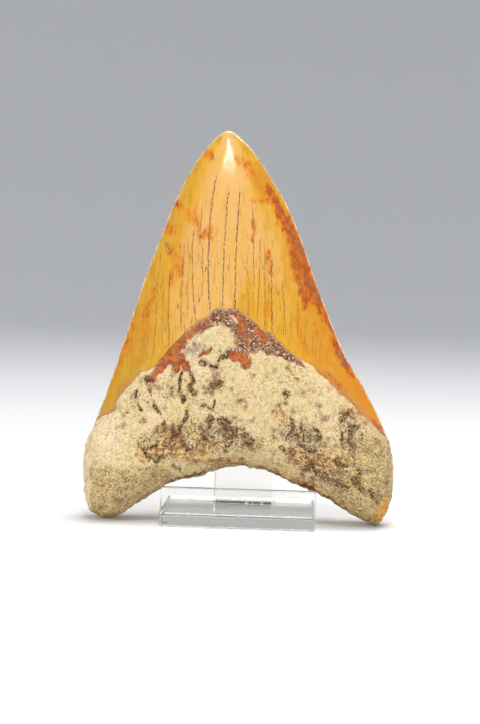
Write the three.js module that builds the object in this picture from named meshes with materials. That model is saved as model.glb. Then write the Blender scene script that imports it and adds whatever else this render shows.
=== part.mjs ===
// Megalodon tooth leaning on a small clear acrylic easel.
// Millimetres, +Z up. The face of the tooth with the bulging root looks towards -Y.
import * as THREE from 'three';

// ---- Stand: three clear plates ------------------------------------------------------------
const BASE = { width: 50, frontY: 3.2, backY: 42, thickness: 4.8, cornerRadius: 1.2, edgeBevel: 0.4 };
const LIP = { width: 50, thickness: 3, height: 13, cornerRadius: 1.0, shiftX: 0.6 };
const BACK_REST = { width: 19.5, thickness: 4, length: 60, footY: 28.2, shiftX: 0.9, topRadius: 6 };
const CEMENT_GAP = 0.2;                                // room for the cement under the back rest
const LEAN = THREE.MathUtils.degToRad(14);             // tooth and back rest lean back by this

// ---- Tooth placing: it stands on its two root lobes, astride the base ---------------------
const TOOTH_YAW = THREE.MathUtils.degToRad(2.5);       // turn about the vertical
const TOOTH_MIDPLANE_Y = 17;                           // where the tooth's middle plane meets the floor
const TOOTH_LIFT = 0.55;                               // brings the lower lobe onto the floor

// ---- Tooth outline in its own plane: x across, y from the floor up to the tip -------------
const LEFT_FOOT = [-44.5, -0.3];
const RIGHT_FOOT = [46.2, -0.4];
const LEFT_SIDE = [
  [-48.5, 1.8], [-50.8, 5.8], [-51.6, 14], [-51.3, 24], [-47.6, 34], [-43.4, 47.5], [-38.6, 64],
  [-33.6, 81], [-29.0, 95], [-25.2, 106], [-20.2, 117.5], [-15.0, 126.2], [-10.0, 131.8],
];
const TIP = [-6.8, 133.4];
const RIGHT_SIDE = [
  [-3.6, 132.0], [2.0, 126.5], [7.6, 118.4], [14.2, 107.3], [19.2, 95.5], [23.9, 82.5], [28.5, 70.5],
  [33.8, 58], [38.8, 49.5], [45.2, 38], [48.8, 29.5], [51.0, 19], [51.1, 11], [49.2, 4.6],
];
const ARCH_LEFT = [[-38.8, 0.4], [-33.8, 3.8], [-27.1, 8.3], [-20.6, 12.4], [-13.5, 14.3], [-7.5, 16.6]];
const ARCH_APEX = [1.0, 18.1];
const ARCH_RIGHT = [[9.5, 16.4], [18.7, 12.1], [27.3, 8.7], [36.4, 3.6], [42.0, 0.9]];

// ---- Tooth thickness, measured out from its middle plane ----------------------------------
const CROWN_FRONT = 13.5;        // convex face at the foot of the crown
const CROWN_BACK = 5.2;          // flatter face at the foot of the crown
const CROWN_FOOT = 58;           // height where the crown is thickest
const ROOT_FRONT = 12.5;
const ROOT_SWELL = 3.2;          // extra thickness of the root below the middle of the crown
const ROOT_SWELL_AT = { x: 0, y: 40, spreadX: 24, spreadY: 17 };
const ROOT_BACK = 8.8;
const ROOT_ROUNDING = 9;         // width of the root's rounded margin
const CHEVRON = { x: -5, top: 68.5, leftSlope: 0.93, rightSlope: 0.79, blend: 7 };
const BACK_CHEVRON = { x: -1, top: 47, leftSlope: 0.33, rightSlope: 0.33, blend: 7 };

const STEPS_ALONG = 80;          // mesh steps from the left foot to the right foot, half on each side
const STEPS_ACROSS = 16;         // mesh steps from the arch to the outer edge
const SPLINE_STEPS = 40;         // arc length steps between two points of an outline

/** Evenly spaced points on a smooth curve over start, left, middle, right and end. */
function outlinePoints(start, left, middle, right, end) {
  const points = [start, ...left, middle, ...right, end].map(([x, y]) => new THREE.Vector2(x, y));
  const curve = new THREE.SplineCurve(points);
  curve.arcLengthDivisions = SPLINE_STEPS * (points.length - 1);
  const lengths = curve.getLengths();
  const middleAt = lengths[SPLINE_STEPS * (left.length + 1)] / lengths[lengths.length - 1];
  const half = STEPS_ALONG / 2;
  return Array.from({ length: STEPS_ALONG + 1 }, (_, i) => curve.getPointAt(
    i <= half ? middleAt * i / half : middleAt + (1 - middleAt) * (i - half) / half));
}

/** Half the crown's width at height y, used to scale its lens-shaped section. */
function crownHalfWidth(y) {
  const down = THREE.MathUtils.clamp((TIP[1] - y) / TIP[1], 0, 1);
  return 54 * Math.pow(down, 0.72) + 1.5;
}

/** Share of crown against root at a point: 1 above the chevron line, 0 below it. */
function crownShare(x, y, line) {
  const across = x - line.x;
  const slope = across < 0 ? line.leftSlope : line.rightSlope;
  const height = line.top - slope * Math.sqrt(across * across + 9) + 3 * slope;
  return THREE.MathUtils.smoothstep(y, height - line.blend, height + line.blend);
}

/** Shortest distance from a point to a closed ring of points. */
function distanceToRing(x, y, ring) {
  let best = Infinity;
  ring.forEach((a, i) => {
    const b = ring[(i + 1) % ring.length];
    const ex = b.x - a.x;
    const ey = b.y - a.y;
    const along = ((x - a.x) * ex + (y - a.y) * ey) / (ex * ex + ey * ey);
    const t = THREE.MathUtils.clamp(along, 0, 1);
    best = Math.min(best, Math.hypot(x - a.x - t * ex, y - a.y - t * ey));
  });
  return best;
}

/** Thickness in front of and behind the middle plane at a point of the outline. */
function toothThickness(x, y, edge) {
  const taper = Math.pow(THREE.MathUtils.clamp((TIP[1] - y) / (TIP[1] - CROWN_FOOT), 0, 1), 0.75);
  const lensAt = Math.min(1, edge / (0.8 * crownHalfWidth(y)));
  const lens = taper * (1 - (1 - lensAt) ** 2);
  const marginAt = Math.min(1, edge / ROOT_ROUNDING);
  const margin = Math.sqrt(1 - (1 - marginAt) ** 2);
  const swell = ROOT_SWELL * Math.exp(
    -(((x - ROOT_SWELL_AT.x) / ROOT_SWELL_AT.spreadX) ** 2)
    - (((y - ROOT_SWELL_AT.y) / ROOT_SWELL_AT.spreadY) ** 2));
  const frontShare = crownShare(x, y, CHEVRON);
  const backShare = crownShare(x, y, BACK_CHEVRON);
  return {
    front: THREE.MathUtils.lerp((ROOT_FRONT + swell) * margin, CROWN_FRONT * lens, frontShare),
    back: THREE.MathUtils.lerp(ROOT_BACK * margin, CROWN_BACK * lens, backShare),
  };
}

/** The tooth as one closed body: two relief sheets that share the outline. */
function toothGeometry() {
  const outerPoints = outlinePoints(LEFT_FOOT, LEFT_SIDE, TIP, RIGHT_SIDE, RIGHT_FOOT);
  const archPoints = outlinePoints(LEFT_FOOT, ARCH_LEFT, ARCH_APEX, ARCH_RIGHT, RIGHT_FOOT);
  const ring = [...outerPoints, ...archPoints.slice(1, -1).reverse()];

  const positions = [];
  const index = [];
  const addVertex = (x, y, z) => positions.push(x, y, z) / 3 - 1;
  const leftFoot = addVertex(...LEFT_FOOT, 0);
  const rightFoot = addVertex(...RIGHT_FOOT, 0);
  const front = [];
  const back = [];
  for (let i = 0; i <= STEPS_ALONG; i += 1) {
    front.push([]);
    back.push([]);
    for (let j = 0; j <= STEPS_ACROSS; j += 1) {
      if (i === 0 || i === STEPS_ALONG) {
        const foot = i === 0 ? leftFoot : rightFoot;
        front[i].push(foot);
        back[i].push(foot);
        continue;
      }
      const t = 0.5 - 0.5 * Math.cos(Math.PI * j / STEPS_ACROSS);
      const p = archPoints[i].clone().lerp(outerPoints[i], t);
      if (j === 0 || j === STEPS_ACROSS) {
        const rim = addVertex(p.x, p.y, 0);
        front[i].push(rim);
        back[i].push(rim);
        continue;
      }
      const thickness = toothThickness(p.x, p.y, distanceToRing(p.x, p.y, ring));
      front[i].push(addVertex(p.x, p.y, thickness.front));
      back[i].push(addVertex(p.x, p.y, -thickness.back));
    }
  }

  const addTriangle = (a, b, c) => {
    if (a !== b && b !== c && c !== a) index.push(a, b, c);
  };
  for (let i = 0; i < STEPS_ALONG; i += 1) {
    for (let j = 0; j < STEPS_ACROSS; j += 1) {
      addTriangle(front[i][j], front[i + 1][j], front[i + 1][j + 1]);
      addTriangle(front[i][j], front[i + 1][j + 1], front[i][j + 1]);
      addTriangle(back[i][j], back[i + 1][j + 1], back[i + 1][j]);
      addTriangle(back[i][j], back[i][j + 1], back[i + 1][j + 1]);
    }
  }
  const geometry = new THREE.BufferGeometry();
  geometry.setAttribute('position', new THREE.Float32BufferAttribute(positions, 3));
  geometry.setIndex(index);
  geometry.computeVertexNormals();
  return geometry;
}

/** A rectangle with rounded corners, its lower left corner at x0, y0. */
function roundedRectangle(x0, y0, width, height, lowRadius, topRadius = lowRadius) {
  const shape = new THREE.Shape();
  const x1 = x0 + width;
  const y1 = y0 + height;
  shape.moveTo(x0 + lowRadius, y0);
  shape.lineTo(x1 - lowRadius, y0);
  if (lowRadius > 0) shape.absarc(x1 - lowRadius, y0 + lowRadius, lowRadius, -Math.PI / 2, 0, false);
  shape.lineTo(x1, y1 - topRadius);
  shape.absarc(x1 - topRadius, y1 - topRadius, topRadius, 0, Math.PI / 2, false);
  shape.lineTo(x0 + topRadius, y1);
  shape.absarc(x0 + topRadius, y1 - topRadius, topRadius, Math.PI / 2, Math.PI, false);
  shape.lineTo(x0, y0 + lowRadius);
  if (lowRadius > 0) shape.absarc(x0 + lowRadius, y0 + lowRadius, lowRadius, Math.PI, 1.5 * Math.PI, false);
  return shape;
}

/** The slab that lies on the table, with softened edges. */
function baseGeometry() {
  const { width, frontY, backY, thickness, cornerRadius, edgeBevel } = BASE;
  const outline = roundedRectangle(
    -width / 2 + edgeBevel, frontY + edgeBevel, width - 2 * edgeBevel, backY - frontY - 2 * edgeBevel,
    cornerRadius);
  const geometry = new THREE.ExtrudeGeometry(outline, {
    depth: thickness - 2 * edgeBevel,
    bevelEnabled: true,
    bevelThickness: edgeBevel,
    bevelSize: edgeBevel,
    bevelSegments: 1,
    curveSegments: 4,
  });
  return geometry.translate(0, 0, edgeBevel);
}

/** The low plate cemented to the front of the base. It stands on its long edge, on the table. */
function lipGeometry() {
  const outline = roundedRectangle(-LIP.width / 2, 0, LIP.width, LIP.height, LIP.cornerRadius);
  return new THREE.ExtrudeGeometry(outline, {
    depth: LIP.thickness, bevelEnabled: false, curveSegments: 4,
  });
}

/** The narrow leaning plate. Its foot is cut level, so that it sits flat on the base. */
function backRestGeometry() {
  const { width, thickness, length, topRadius } = BACK_REST;
  const outline = roundedRectangle(-width / 2, 0, width, length, 0, topRadius);
  const geometry = new THREE.ExtrudeGeometry(outline, {
    depth: thickness, bevelEnabled: false, curveSegments: 8,
  });
  const position = geometry.getAttribute('position');
  for (let i = 0; i < position.count; i += 1) {
    if (position.getY(i) < 1e-6) position.setY(i, -position.getZ(i) * Math.tan(LEAN));
  }
  return geometry;
}

function clearAcrylic() {
  return new THREE.MeshStandardMaterial({
    color: 0xe9edee, roughness: 0.05, metalness: 0, transparent: true, opacity: 0.35,
  });
}

function fossilFinish() {
  return new THREE.MeshStandardMaterial({ color: 0xd9a24e, roughness: 0.45, metalness: 0 });
}

function namedMesh(name, geometry, material) {
  const mesh = new THREE.Mesh(geometry, material);
  mesh.name = name;
  return mesh;
}

/** Base, lip and back rest, each where it is cemented. */
function makeStand() {
  const stand = new THREE.Group();
  stand.add(namedMesh('stand_base', baseGeometry(), clearAcrylic()));

  const lip = namedMesh('stand_lip', lipGeometry(), clearAcrylic());
  lip.rotation.x = Math.PI / 2;
  lip.position.set(LIP.shiftX, LIP.thickness, 0);
  stand.add(lip);

  const backRest = namedMesh('stand_back_rest', backRestGeometry(), clearAcrylic());
  backRest.rotation.x = Math.PI / 2 - LEAN;
  backRest.position.set(
    BACK_REST.shiftX, BACK_REST.footY + BACK_REST.thickness / Math.cos(LEAN), BASE.thickness + CEMENT_GAP);
  stand.add(backRest);
  return stand;
}

/** The tooth, leaning back and turned a little on its feet. */
function makeTooth() {
  const mesh = namedMesh('tooth', toothGeometry(), fossilFinish());
  mesh.rotation.x = Math.PI / 2 - LEAN;
  const turned = new THREE.Group();
  turned.add(mesh);
  turned.rotation.z = TOOTH_YAW;
  turned.position.set(0, TOOTH_MIDPLANE_Y, TOOTH_LIFT);
  return turned;
}

/** Puts the origin under the middle of the whole object, on the table. */
function centred(object) {
  const group = new THREE.Group();
  group.add(object);
  group.updateMatrixWorld(true);
  const box = new THREE.Box3().setFromObject(group, true);
  const middle = box.getCenter(new THREE.Vector3());
  object.position.set(-middle.x, -middle.y, -box.min.z);
  return group;
}

const assembly = new THREE.Group();
assembly.add(makeStand(), makeTooth());
const group = centred(assembly);

export default group;
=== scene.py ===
"""A fossil shark tooth leaning on a small clear easel, seen in plain studio light."""

import logging
import math
from dataclasses import dataclass, field
from enum import Enum
from functools import reduce
from typing import Any, Sequence

import bpy
import numpy as np
from mathutils import Matrix, Vector


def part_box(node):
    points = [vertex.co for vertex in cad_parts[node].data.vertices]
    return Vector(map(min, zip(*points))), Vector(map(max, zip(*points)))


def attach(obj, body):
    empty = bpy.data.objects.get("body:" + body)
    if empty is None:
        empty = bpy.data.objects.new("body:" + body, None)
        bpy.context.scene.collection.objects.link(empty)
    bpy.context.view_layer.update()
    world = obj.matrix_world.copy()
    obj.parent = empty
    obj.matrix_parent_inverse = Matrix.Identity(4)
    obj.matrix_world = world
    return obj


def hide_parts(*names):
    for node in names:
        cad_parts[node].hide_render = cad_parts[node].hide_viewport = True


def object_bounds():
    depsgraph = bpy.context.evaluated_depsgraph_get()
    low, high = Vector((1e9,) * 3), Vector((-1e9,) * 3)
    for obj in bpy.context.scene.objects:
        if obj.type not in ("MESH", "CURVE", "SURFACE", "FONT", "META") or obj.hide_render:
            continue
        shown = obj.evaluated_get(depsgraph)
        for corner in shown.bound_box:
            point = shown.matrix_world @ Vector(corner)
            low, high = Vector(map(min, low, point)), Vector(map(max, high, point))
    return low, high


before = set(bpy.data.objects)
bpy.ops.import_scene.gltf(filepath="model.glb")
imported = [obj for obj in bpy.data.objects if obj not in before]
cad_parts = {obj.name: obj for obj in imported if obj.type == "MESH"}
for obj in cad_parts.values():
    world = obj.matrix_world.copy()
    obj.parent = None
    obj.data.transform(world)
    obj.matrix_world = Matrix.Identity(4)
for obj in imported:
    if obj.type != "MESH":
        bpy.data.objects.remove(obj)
CAD_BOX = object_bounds()

MM = 0.001
LEAN_DEG = 14.0
BODY = "root"
LOG = logging.getLogger("tooth")

Point = tuple[float, float]
Triple = tuple[float, float, float]
Colour = Triple
ORIGIN: Triple = (0.0, 0.0, 0.0)


def srgb(red: int, green: int, blue: int) -> Colour:
    """Turns display values from 0 to 255 into linear light."""
    return tuple(
        (c / 255 / 12.92) if c <= 10 else ((c / 255 + 0.055) / 1.055) ** 2.4 for c in (red, green, blue)
    )


def smoothstep(low: float, high: float, value: np.ndarray) -> np.ndarray:
    """Rises smoothly from 0 at low to 1 at high."""
    t = np.clip((value - low) / (high - low), 0.0, 1.0)
    return t * t * (3 - 2 * t)


# ---- Shader maths --------------------------------------------------------------------------


class Wire:
    """A shader value that can be worked with like a number."""

    def __init__(self, net: "Net", socket: bpy.types.NodeSocket | None) -> None:
        """Wraps an output socket of the net; the node that ends a net has none."""
        self.net = net
        self.socket = socket

    def __add__(self, other: "Wire | float") -> "Wire":
        """Sum."""
        return self.net.maths("ADD", self, other)

    __radd__ = __add__

    def __sub__(self, other: "Wire | float") -> "Wire":
        """Difference."""
        return self.net.maths("SUBTRACT", self, other)

    def __rsub__(self, other: float) -> "Wire":
        """Difference from a number."""
        return self.net.maths("SUBTRACT", other, self)

    def __mul__(self, other: "Wire | float") -> "Wire":
        """Product."""
        return self.net.maths("MULTIPLY", self, other)

    __rmul__ = __mul__

    def __abs__(self) -> "Wire":
        """Size without sign."""
        return self.net.maths("ABSOLUTE", self)

    def __or__(self, other: "Wire | float") -> "Wire":
        """The larger of two masks."""
        return self.net.maths("MAXIMUM", self, other)

    def clamp(self) -> "Wire":
        """Keeps the value between 0 and 1."""
        return self.net.maths("ADD", self, 0.0, clamp=True)

    def swing(self, strength: float) -> "Wire":
        """How far a noise is from its middle, times a strength."""
        return (self - 0.5) * strength

    def step(self, low: float, high: float) -> "Wire":
        """Rises smoothly from 0 at low to 1 at high.

        Args:
            low: value that gives 0.
            high: value that gives 1; it may be below low.

        Returns:
            The eased mask.
        """
        if low > high:
            return 1 - self.step(high, low)
        return self.net.node(
            "ShaderNodeMapRange",
            {"interpolation_type": "SMOOTHSTEP"},
            {"Value": self, "From Min": low, "From Max": high},
        )


class Net:
    """One material's node tree and the ways of adding to it."""

    def __init__(self, name: str) -> None:
        """Makes an empty node material.

        Args:
            name: the material's name.
        """
        self.material = bpy.data.materials.new(name)
        self.material.use_nodes = True
        self.tree = self.material.node_tree
        self.tree.nodes.clear()

    def node(
        self, kind: str, settings: dict[str, Any], sockets: dict[Any, Any], output: int | str = 0
    ) -> Wire:
        """Adds a node.

        Args:
            kind: the node's type.
            settings: its own properties, set first.
            sockets: values or wires for its inputs, by name or number.
            output: which output to give back.

        Returns:
            A wire from that output.
        """
        made = self.tree.nodes.new(kind)
        for key, value in settings.items():
            setattr(made, key, value)
        for key, value in sockets.items():
            target = made.inputs[key]
            if isinstance(value, Wire):
                self.tree.links.new(value.socket, target)
            elif target.type == "RGBA":
                target.default_value = (*value, 1.0)
            else:
                target.default_value = value
        return Wire(self, made.outputs[output] if len(made.outputs) else None)

    def maths(self, operation: str, *values: Wire | float, clamp: bool = False) -> Wire:
        """One Math node on the given values."""
        return self.node(
            "ShaderNodeMath", {"operation": operation, "use_clamp": clamp}, dict(enumerate(values))
        )

    def mix(
        self, share: Wire | float, first: Wire | Colour, second: Wire | Colour, blend: str = "MIX"
    ) -> Wire:
        """Mixes two colours.

        Args:
            share: how much of the second colour shows.
            first: colour at 0.
            second: colour at 1.
            blend: how the second colour is laid on the first.

        Returns:
            The mixed colour.
        """
        settings = {"data_type": "RGBA", "blend_type": blend}
        return self.node("ShaderNodeMix", settings, {0: share, 6: first, 7: second}, output=2)

    def attribute(self, name: str, output: str = "Fac") -> Wire:
        """Reads a value stored on the mesh."""
        return self.node("ShaderNodeAttribute", {"attribute_name": name}, {}, output=output)

    def part(self, vector: Wire, axis: str) -> Wire:
        """One part of a vector or a colour."""
        return self.node("ShaderNodeSeparateXYZ", {}, {0: vector}, axis)

    def stretched(self, spot: Wire, scale: Triple, shift: Wire | Triple = ORIGIN) -> Wire:
        """Scales a place vector and then shifts it."""
        return self.node(
            "ShaderNodeVectorMath", {"operation": "MULTIPLY_ADD"}, {0: spot, 1: scale, 2: shift}
        )

    def noise(self, spot: Wire, per_unit: float, detail: float = 3.0, rough: float = 0.6) -> Wire:
        """Soft noise around 0.5.

        Args:
            spot: place.
            per_unit: how many features there are in one of the place's units.
            detail: octaves.
            rough: strength of the finer octaves.

        Returns:
            The noise.
        """
        sockets = {"Vector": spot, "Scale": per_unit, "Detail": detail, "Roughness": rough}
        return self.node("ShaderNodeTexNoise", {"noise_dimensions": "3D"}, sockets)

    def grained(
        self, spot: Wire, per_unit: Triple, detail: float = 3.0, rough: float = 0.6, shift: Triple = ORIGIN
    ) -> Wire:
        """Noise whose features are longer one way than another; a shift makes it a different one."""
        return self.noise(self.stretched(spot, per_unit, shift), 1.0, detail, rough)

    def cells(self, spot: Wire, per_unit: float, feature: str = "F1", output: str = "Distance") -> Wire:
        """Scattered cells: distances in cell widths, or each cell's own colour."""
        return self.node(
            "ShaderNodeTexVoronoi",
            {"voronoi_dimensions": "3D", "feature": feature},
            {"Vector": spot, "Scale": per_unit},
            output=output,
        )

    def bump(self, height: Wire, distance: float) -> Wire:
        """Turns a height in units of distance into a normal."""
        return self.node("ShaderNodeBump", {}, {"Height": height, "Distance": distance, "Strength": 1.0})

    def principled(self, sockets: dict[str, Any]) -> Wire:
        """Adds a Principled shader."""
        return self.node("ShaderNodeBsdfPrincipled", {}, sockets)

    def end(self, shader: Wire) -> None:
        """Makes a shader the material's surface."""
        self.node("ShaderNodeOutputMaterial", {}, {"Surface": shader})


class Paint:
    """A colour that is built up in layers."""

    def __init__(self, net: Net, base: Wire) -> None:
        """Starts with a base colour."""
        self.net = net
        self.colour = base

    def lay(self, share: Wire, colour: Wire | Colour) -> None:
        """Lays a share of a colour over what is there."""
        self.colour = self.net.mix(share, self.colour, colour)


# ---- Relief noise for meshes ---------------------------------------------------------------


@dataclass(frozen=True)
class Grain:
    """Repeatable noise for moving mesh points."""

    seed: int

    def _chance(self, cell: np.ndarray, salt: int) -> np.ndarray:
        """One repeatable chance for each cell, by mixing its numbers' bits with large primes.

        Args:
            cell: whole-number cells.
            salt: gives another set of chances.

        Returns:
            Numbers from 0 to 1.
        """
        mixed = cell[..., 0] * 73856093 ^ cell[..., 1] * 19349663 ^ cell[..., 2] * 83492791
        mixed = mixed + (self.seed * 7919 + salt * 104729)
        mixed = (mixed ^ (mixed >> 13)) * 1274126177
        return ((mixed ^ (mixed >> 16)) & 0xFFFFFF) / float(0xFFFFFF)

    def smooth(self, places: np.ndarray) -> np.ndarray:
        """Smooth noise with features one unit wide.

        Args:
            places: points.

        Returns:
            Values from -1 to 1.
        """
        low = np.floor(places).astype(np.int64)
        part = places - low
        ease = part * part * part * (part * (part * 6 - 15) + 10)
        total = np.zeros(len(places))
        for corner in range(8):
            bits = np.array([corner & 1, corner >> 1 & 1, corner >> 2 & 1])
            weight = np.prod(np.where(bits == 1, ease, 1 - ease), axis=1)
            total += weight * self._chance(low + bits, 0)
        return total * 2 - 1

    def layered(self, places: np.ndarray, width: float, octaves: int, keep: float = 0.5) -> np.ndarray:
        """Several sizes of smooth noise added up.

        Args:
            places: points.
            width: size of the largest features.
            octaves: how many sizes.
            keep: how strong each size is against the one before.

        Returns:
            Values from about -1 to 1.
        """
        total = np.zeros(len(places))
        strength, sum_of_strengths = 1.0, 0.0
        for octave in range(octaves):
            total += strength * self.smooth(places / width * 2**octave + octave * 17.3)
            sum_of_strengths += strength
            strength *= keep
        return total / sum_of_strengths

    def billows(self, places: np.ndarray, width: float, octaves: int) -> np.ndarray:
        """Rounded lumps with sharp valleys.

        Args:
            places: points.
            width: size of the largest lumps.
            octaves: how many sizes.

        Returns:
            Heights from 0 to 1.
        """
        total = np.zeros(len(places))
        for octave in range(octaves):
            total += 0.5**octave * np.abs(self.smooth(places / width * 2**octave + octave * 9.1))
        return total / (2 - 0.5 ** (octaves - 1))

    def pits(self, places: np.ndarray, size: float, radius: float, share: float) -> np.ndarray:
        """Round pits in a share of scattered cells.

        Args:
            places: points.
            size: cell width.
            radius: pit radius as a part of the cell.
            share: how many of the cells hold a pit.

        Returns:
            Depth from 0 to 1.
        """
        scaled = places / size
        low = np.floor(scaled).astype(np.int64)
        depth = np.zeros(len(places))
        for step in np.ndindex(3, 3, 3):
            cell = low + (np.array(step) - 1)
            centre = cell + 0.2 + 0.6 * np.stack([self._chance(cell, k) for k in (1, 2, 3)], axis=1)
            reach = radius * (0.6 + 0.7 * self._chance(cell, 4))
            near = 1 - np.linalg.norm(scaled - centre, axis=1) / reach
            held = self._chance(cell, 5) < share
            depth = np.maximum(depth, np.where(held, np.clip(near, 0, 1), 0))
        return depth * (2 - depth)


@dataclass(frozen=True)
class Streak:
    """A mark along a line: places across and up the tooth with the mark's half width there, in mm."""

    line: Sequence[Triple]
    strength: float = 1.0

    def cover(self, across: np.ndarray, up: np.ndarray) -> np.ndarray:
        """How much of the mark covers each point.

        Args:
            across: places across the tooth.
            up: places up the tooth.

        Returns:
            The mark's strength in its middle, 0 at its rim and below 0 outside.
        """
        best = np.full(len(across), -9.0)
        for (x0, y0, r0), (x1, y1, r1) in zip(self.line[:-1], self.line[1:]):
            length = (x1 - x0) ** 2 + (y1 - y0) ** 2
            t = np.clip(((across - x0) * (x1 - x0) + (up - y0) * (y1 - y0)) / length, 0, 1)
            gap = np.hypot(across - x0 - t * (x1 - x0), up - y0 - t * (y1 - y0))
            best = np.maximum(best, 1 - gap / (r0 + t * (r1 - r0)))
        return np.minimum(best * 1.5, 1.0) * self.strength


def covered(marks: Sequence[Streak], across: np.ndarray, up: np.ndarray) -> np.ndarray:
    """The strongest cover of any of the marks."""
    return np.maximum.reduce([mark.cover(across, up) for mark in marks])


# ---- The marks on the tooth's front --------------------------------------------------------

RUST = (
    Streak(((6.8, 113.5, 1.3), (9.7, 108.5, 2.2), (12.3, 103.5, 3.0), (15.0, 98.5, 3.4), (17.9, 92.5, 4.4),
            (19.5, 87.5, 5.2), (21.6, 81.5, 5.2), (23.9, 76.5, 4.4), (26.6, 71.5, 2.4), (29.2, 67, 2.0),
            (31.5, 60.5, 1.9), (34.0, 55.5, 3.0), (36.5, 50.5, 1.8))),
    Streak(((16.6, 86, 2.2), (20, 78, 2.2), (21, 71, 1.5)), 0.9),
    Streak(((-3.5, 122.5, 2.0), (0.5, 120.5, 1.8)), 0.5),
    Streak(((-1.0, 120.5, 1.6), (2.5, 116.5, 1.8), (5.0, 112.5, 1.8), (7.0, 109.5, 1.4)), 0.45),
    Streak(((2.5, 107.2, 1.0), (7.5, 107.8, 1.4)), 0.6),
    Streak(((-13.8, 125, 1.8), (-12.2, 123, 1.6)), 0.55),
    Streak(((-23.8, 107.5, 1.8), (-22.4, 105.0, 1.6)), 0.6),
    Streak(((-19.8, 103, 1.4), (-19.4, 100, 1.4)), 0.45),
    Streak(((-17.4, 103, 1.8), (-17.0, 99.5, 1.8)), 0.5),
    Streak(((-15.8, 100, 0.9), (-15.2, 91, 0.8)), 0.6),
    Streak(((-14.5, 94.5, 1.8), (-12.5, 95.5, 2.2), (-11.2, 94, 1.6)), 0.4),
    Streak(((-28.4, 99.5, 2.4), (-24.6, 97, 2.0)), 0.5),
    Streak(((-24.6, 89.5, 1.8), (-22.5, 85.5, 2.4), (-21.4, 81.5, 1.6)), 0.5),
    Streak(((-23.7, 81.5, 1.2), (-24.7, 77, 1.0)), 0.5),
    Streak(((-37, 63.5, 2.4), (-40, 55.5, 3.0), (-43, 48, 2.0)), 0.42),
    Streak(((-30, 76, 1.6), (-33, 66, 1.8)), 0.3),
    Streak(((7.8, 90, 1.0), (8.8, 81, 1.0)), 0.6),
    Streak(((2.3, 101, 0.8), (2.9, 92, 0.8)), 0.5),
    Streak(((27, 48.8, 1.8), (31.5, 46.0, 2.4), (34.6, 43, 1.8)), 0.45),
    Streak(((43, 34.5, 1.6), (46.8, 30, 1.6)), 0.8),
    Streak(((36.5, 50, 2.4), (41.5, 42.5, 2.6)), 0.4),
)
MAUVE = (
    Streak(((8.6, 109.5, 0.6), (11.6, 106, 1.0), (14.0, 102.5, 0.7), (15.6, 98.5, 0.7), (17.4, 94.5, 0.9),
            (19.2, 91.5, 1.4))),
    Streak(((21.4, 84.5, 0.8), (22.4, 80.5, 0.9), (25.0, 76, 1.2), (26.6, 73.5, 0.8))),
    Streak(((32.3, 57, 1.4), (34.5, 53, 1.4))),
    Streak(((22.6, 50.6, 1.0), (28.4, 45.8, 1.7), (34.4, 40.5, 1.7), (39.4, 35.8, 1.2)), 0.65),
    Streak(((-26.4, 92.5, 1.4), (-25.6, 88.5, 1.2)), 0.8),
)
RED = (
    Streak(((-29.0, 44.8, 1.0), (-27.4, 47.5, 2.2), (-25, 51, 2.8), (-22.6, 54.5, 2.4), (-20.2, 56.8, 2.3),
            (-17, 60, 1.0), (-13, 63.8, 0.7), (-10.3, 66.6, 0.5))),
    Streak(((-22.2, 52, 1.8), (-22.0, 47.8, 1.6))),
    Streak(((-19.6, 52, 1.5), (-18.3, 47.8, 1.5))),
    Streak(((-3.2, 67.8, 0.6), (-0.2, 64.8, 1.6), (0.4, 61.0, 1.5))),
    Streak(((2.2, 60.3, 1.0), (1.2, 57.5, 0.6)), 0.8),
    Streak(((4.4, 61.4, 1.2), (7.4, 58.9, 1.2))),
    Streak(((-3.6, 53.4, 1.5), (0.2, 52.3, 2.0), (1.6, 49.4, 1.4)), 0.9),
    Streak(((-14, 52.6, 0.9), (-11, 53.8, 0.9)), 0.6),
)
BARE = (
    Streak(((-17, 59.5, 1.6), (-13, 62.3, 1.9), (-9.6, 65.6, 1.9), (-6, 66.8, 2.6), (-4.6, 64.3, 2.0))),
    Streak(((-1.2, 62, 2.6), (2, 59.5, 4.6), (5, 57.5, 4.2), (9, 56, 3.0), (12.5, 53.8, 2.4),
            (16.5, 52.6, 1.6), (20.5, 50.8, 0.8))),
    Streak(((-3.5, 54.5, 1.5), (0, 53.6, 2.8), (1.2, 50.3, 2.0))),
    Streak(((-30.5, 44.6, 1.2), (-29, 45, 1.2))),
)
GREY = (
    Streak(((-17, 54, 2.6), (-14, 55.3, 2.6), (-11.8, 53.4, 1.5))),
    Streak(((-4.6, 54.6, 1.4), (-2.0, 55.0, 1.2))),
    Streak(((-11.0, 29.5, 2.2), (-7.5, 27.5, 2.0))),
    Streak(((16.6, 32, 1.4), (17, 27, 2.2)), 0.9),
    Streak(((22, 23, 2.2), (25, 26, 2.2)), 0.8),
)
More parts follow.
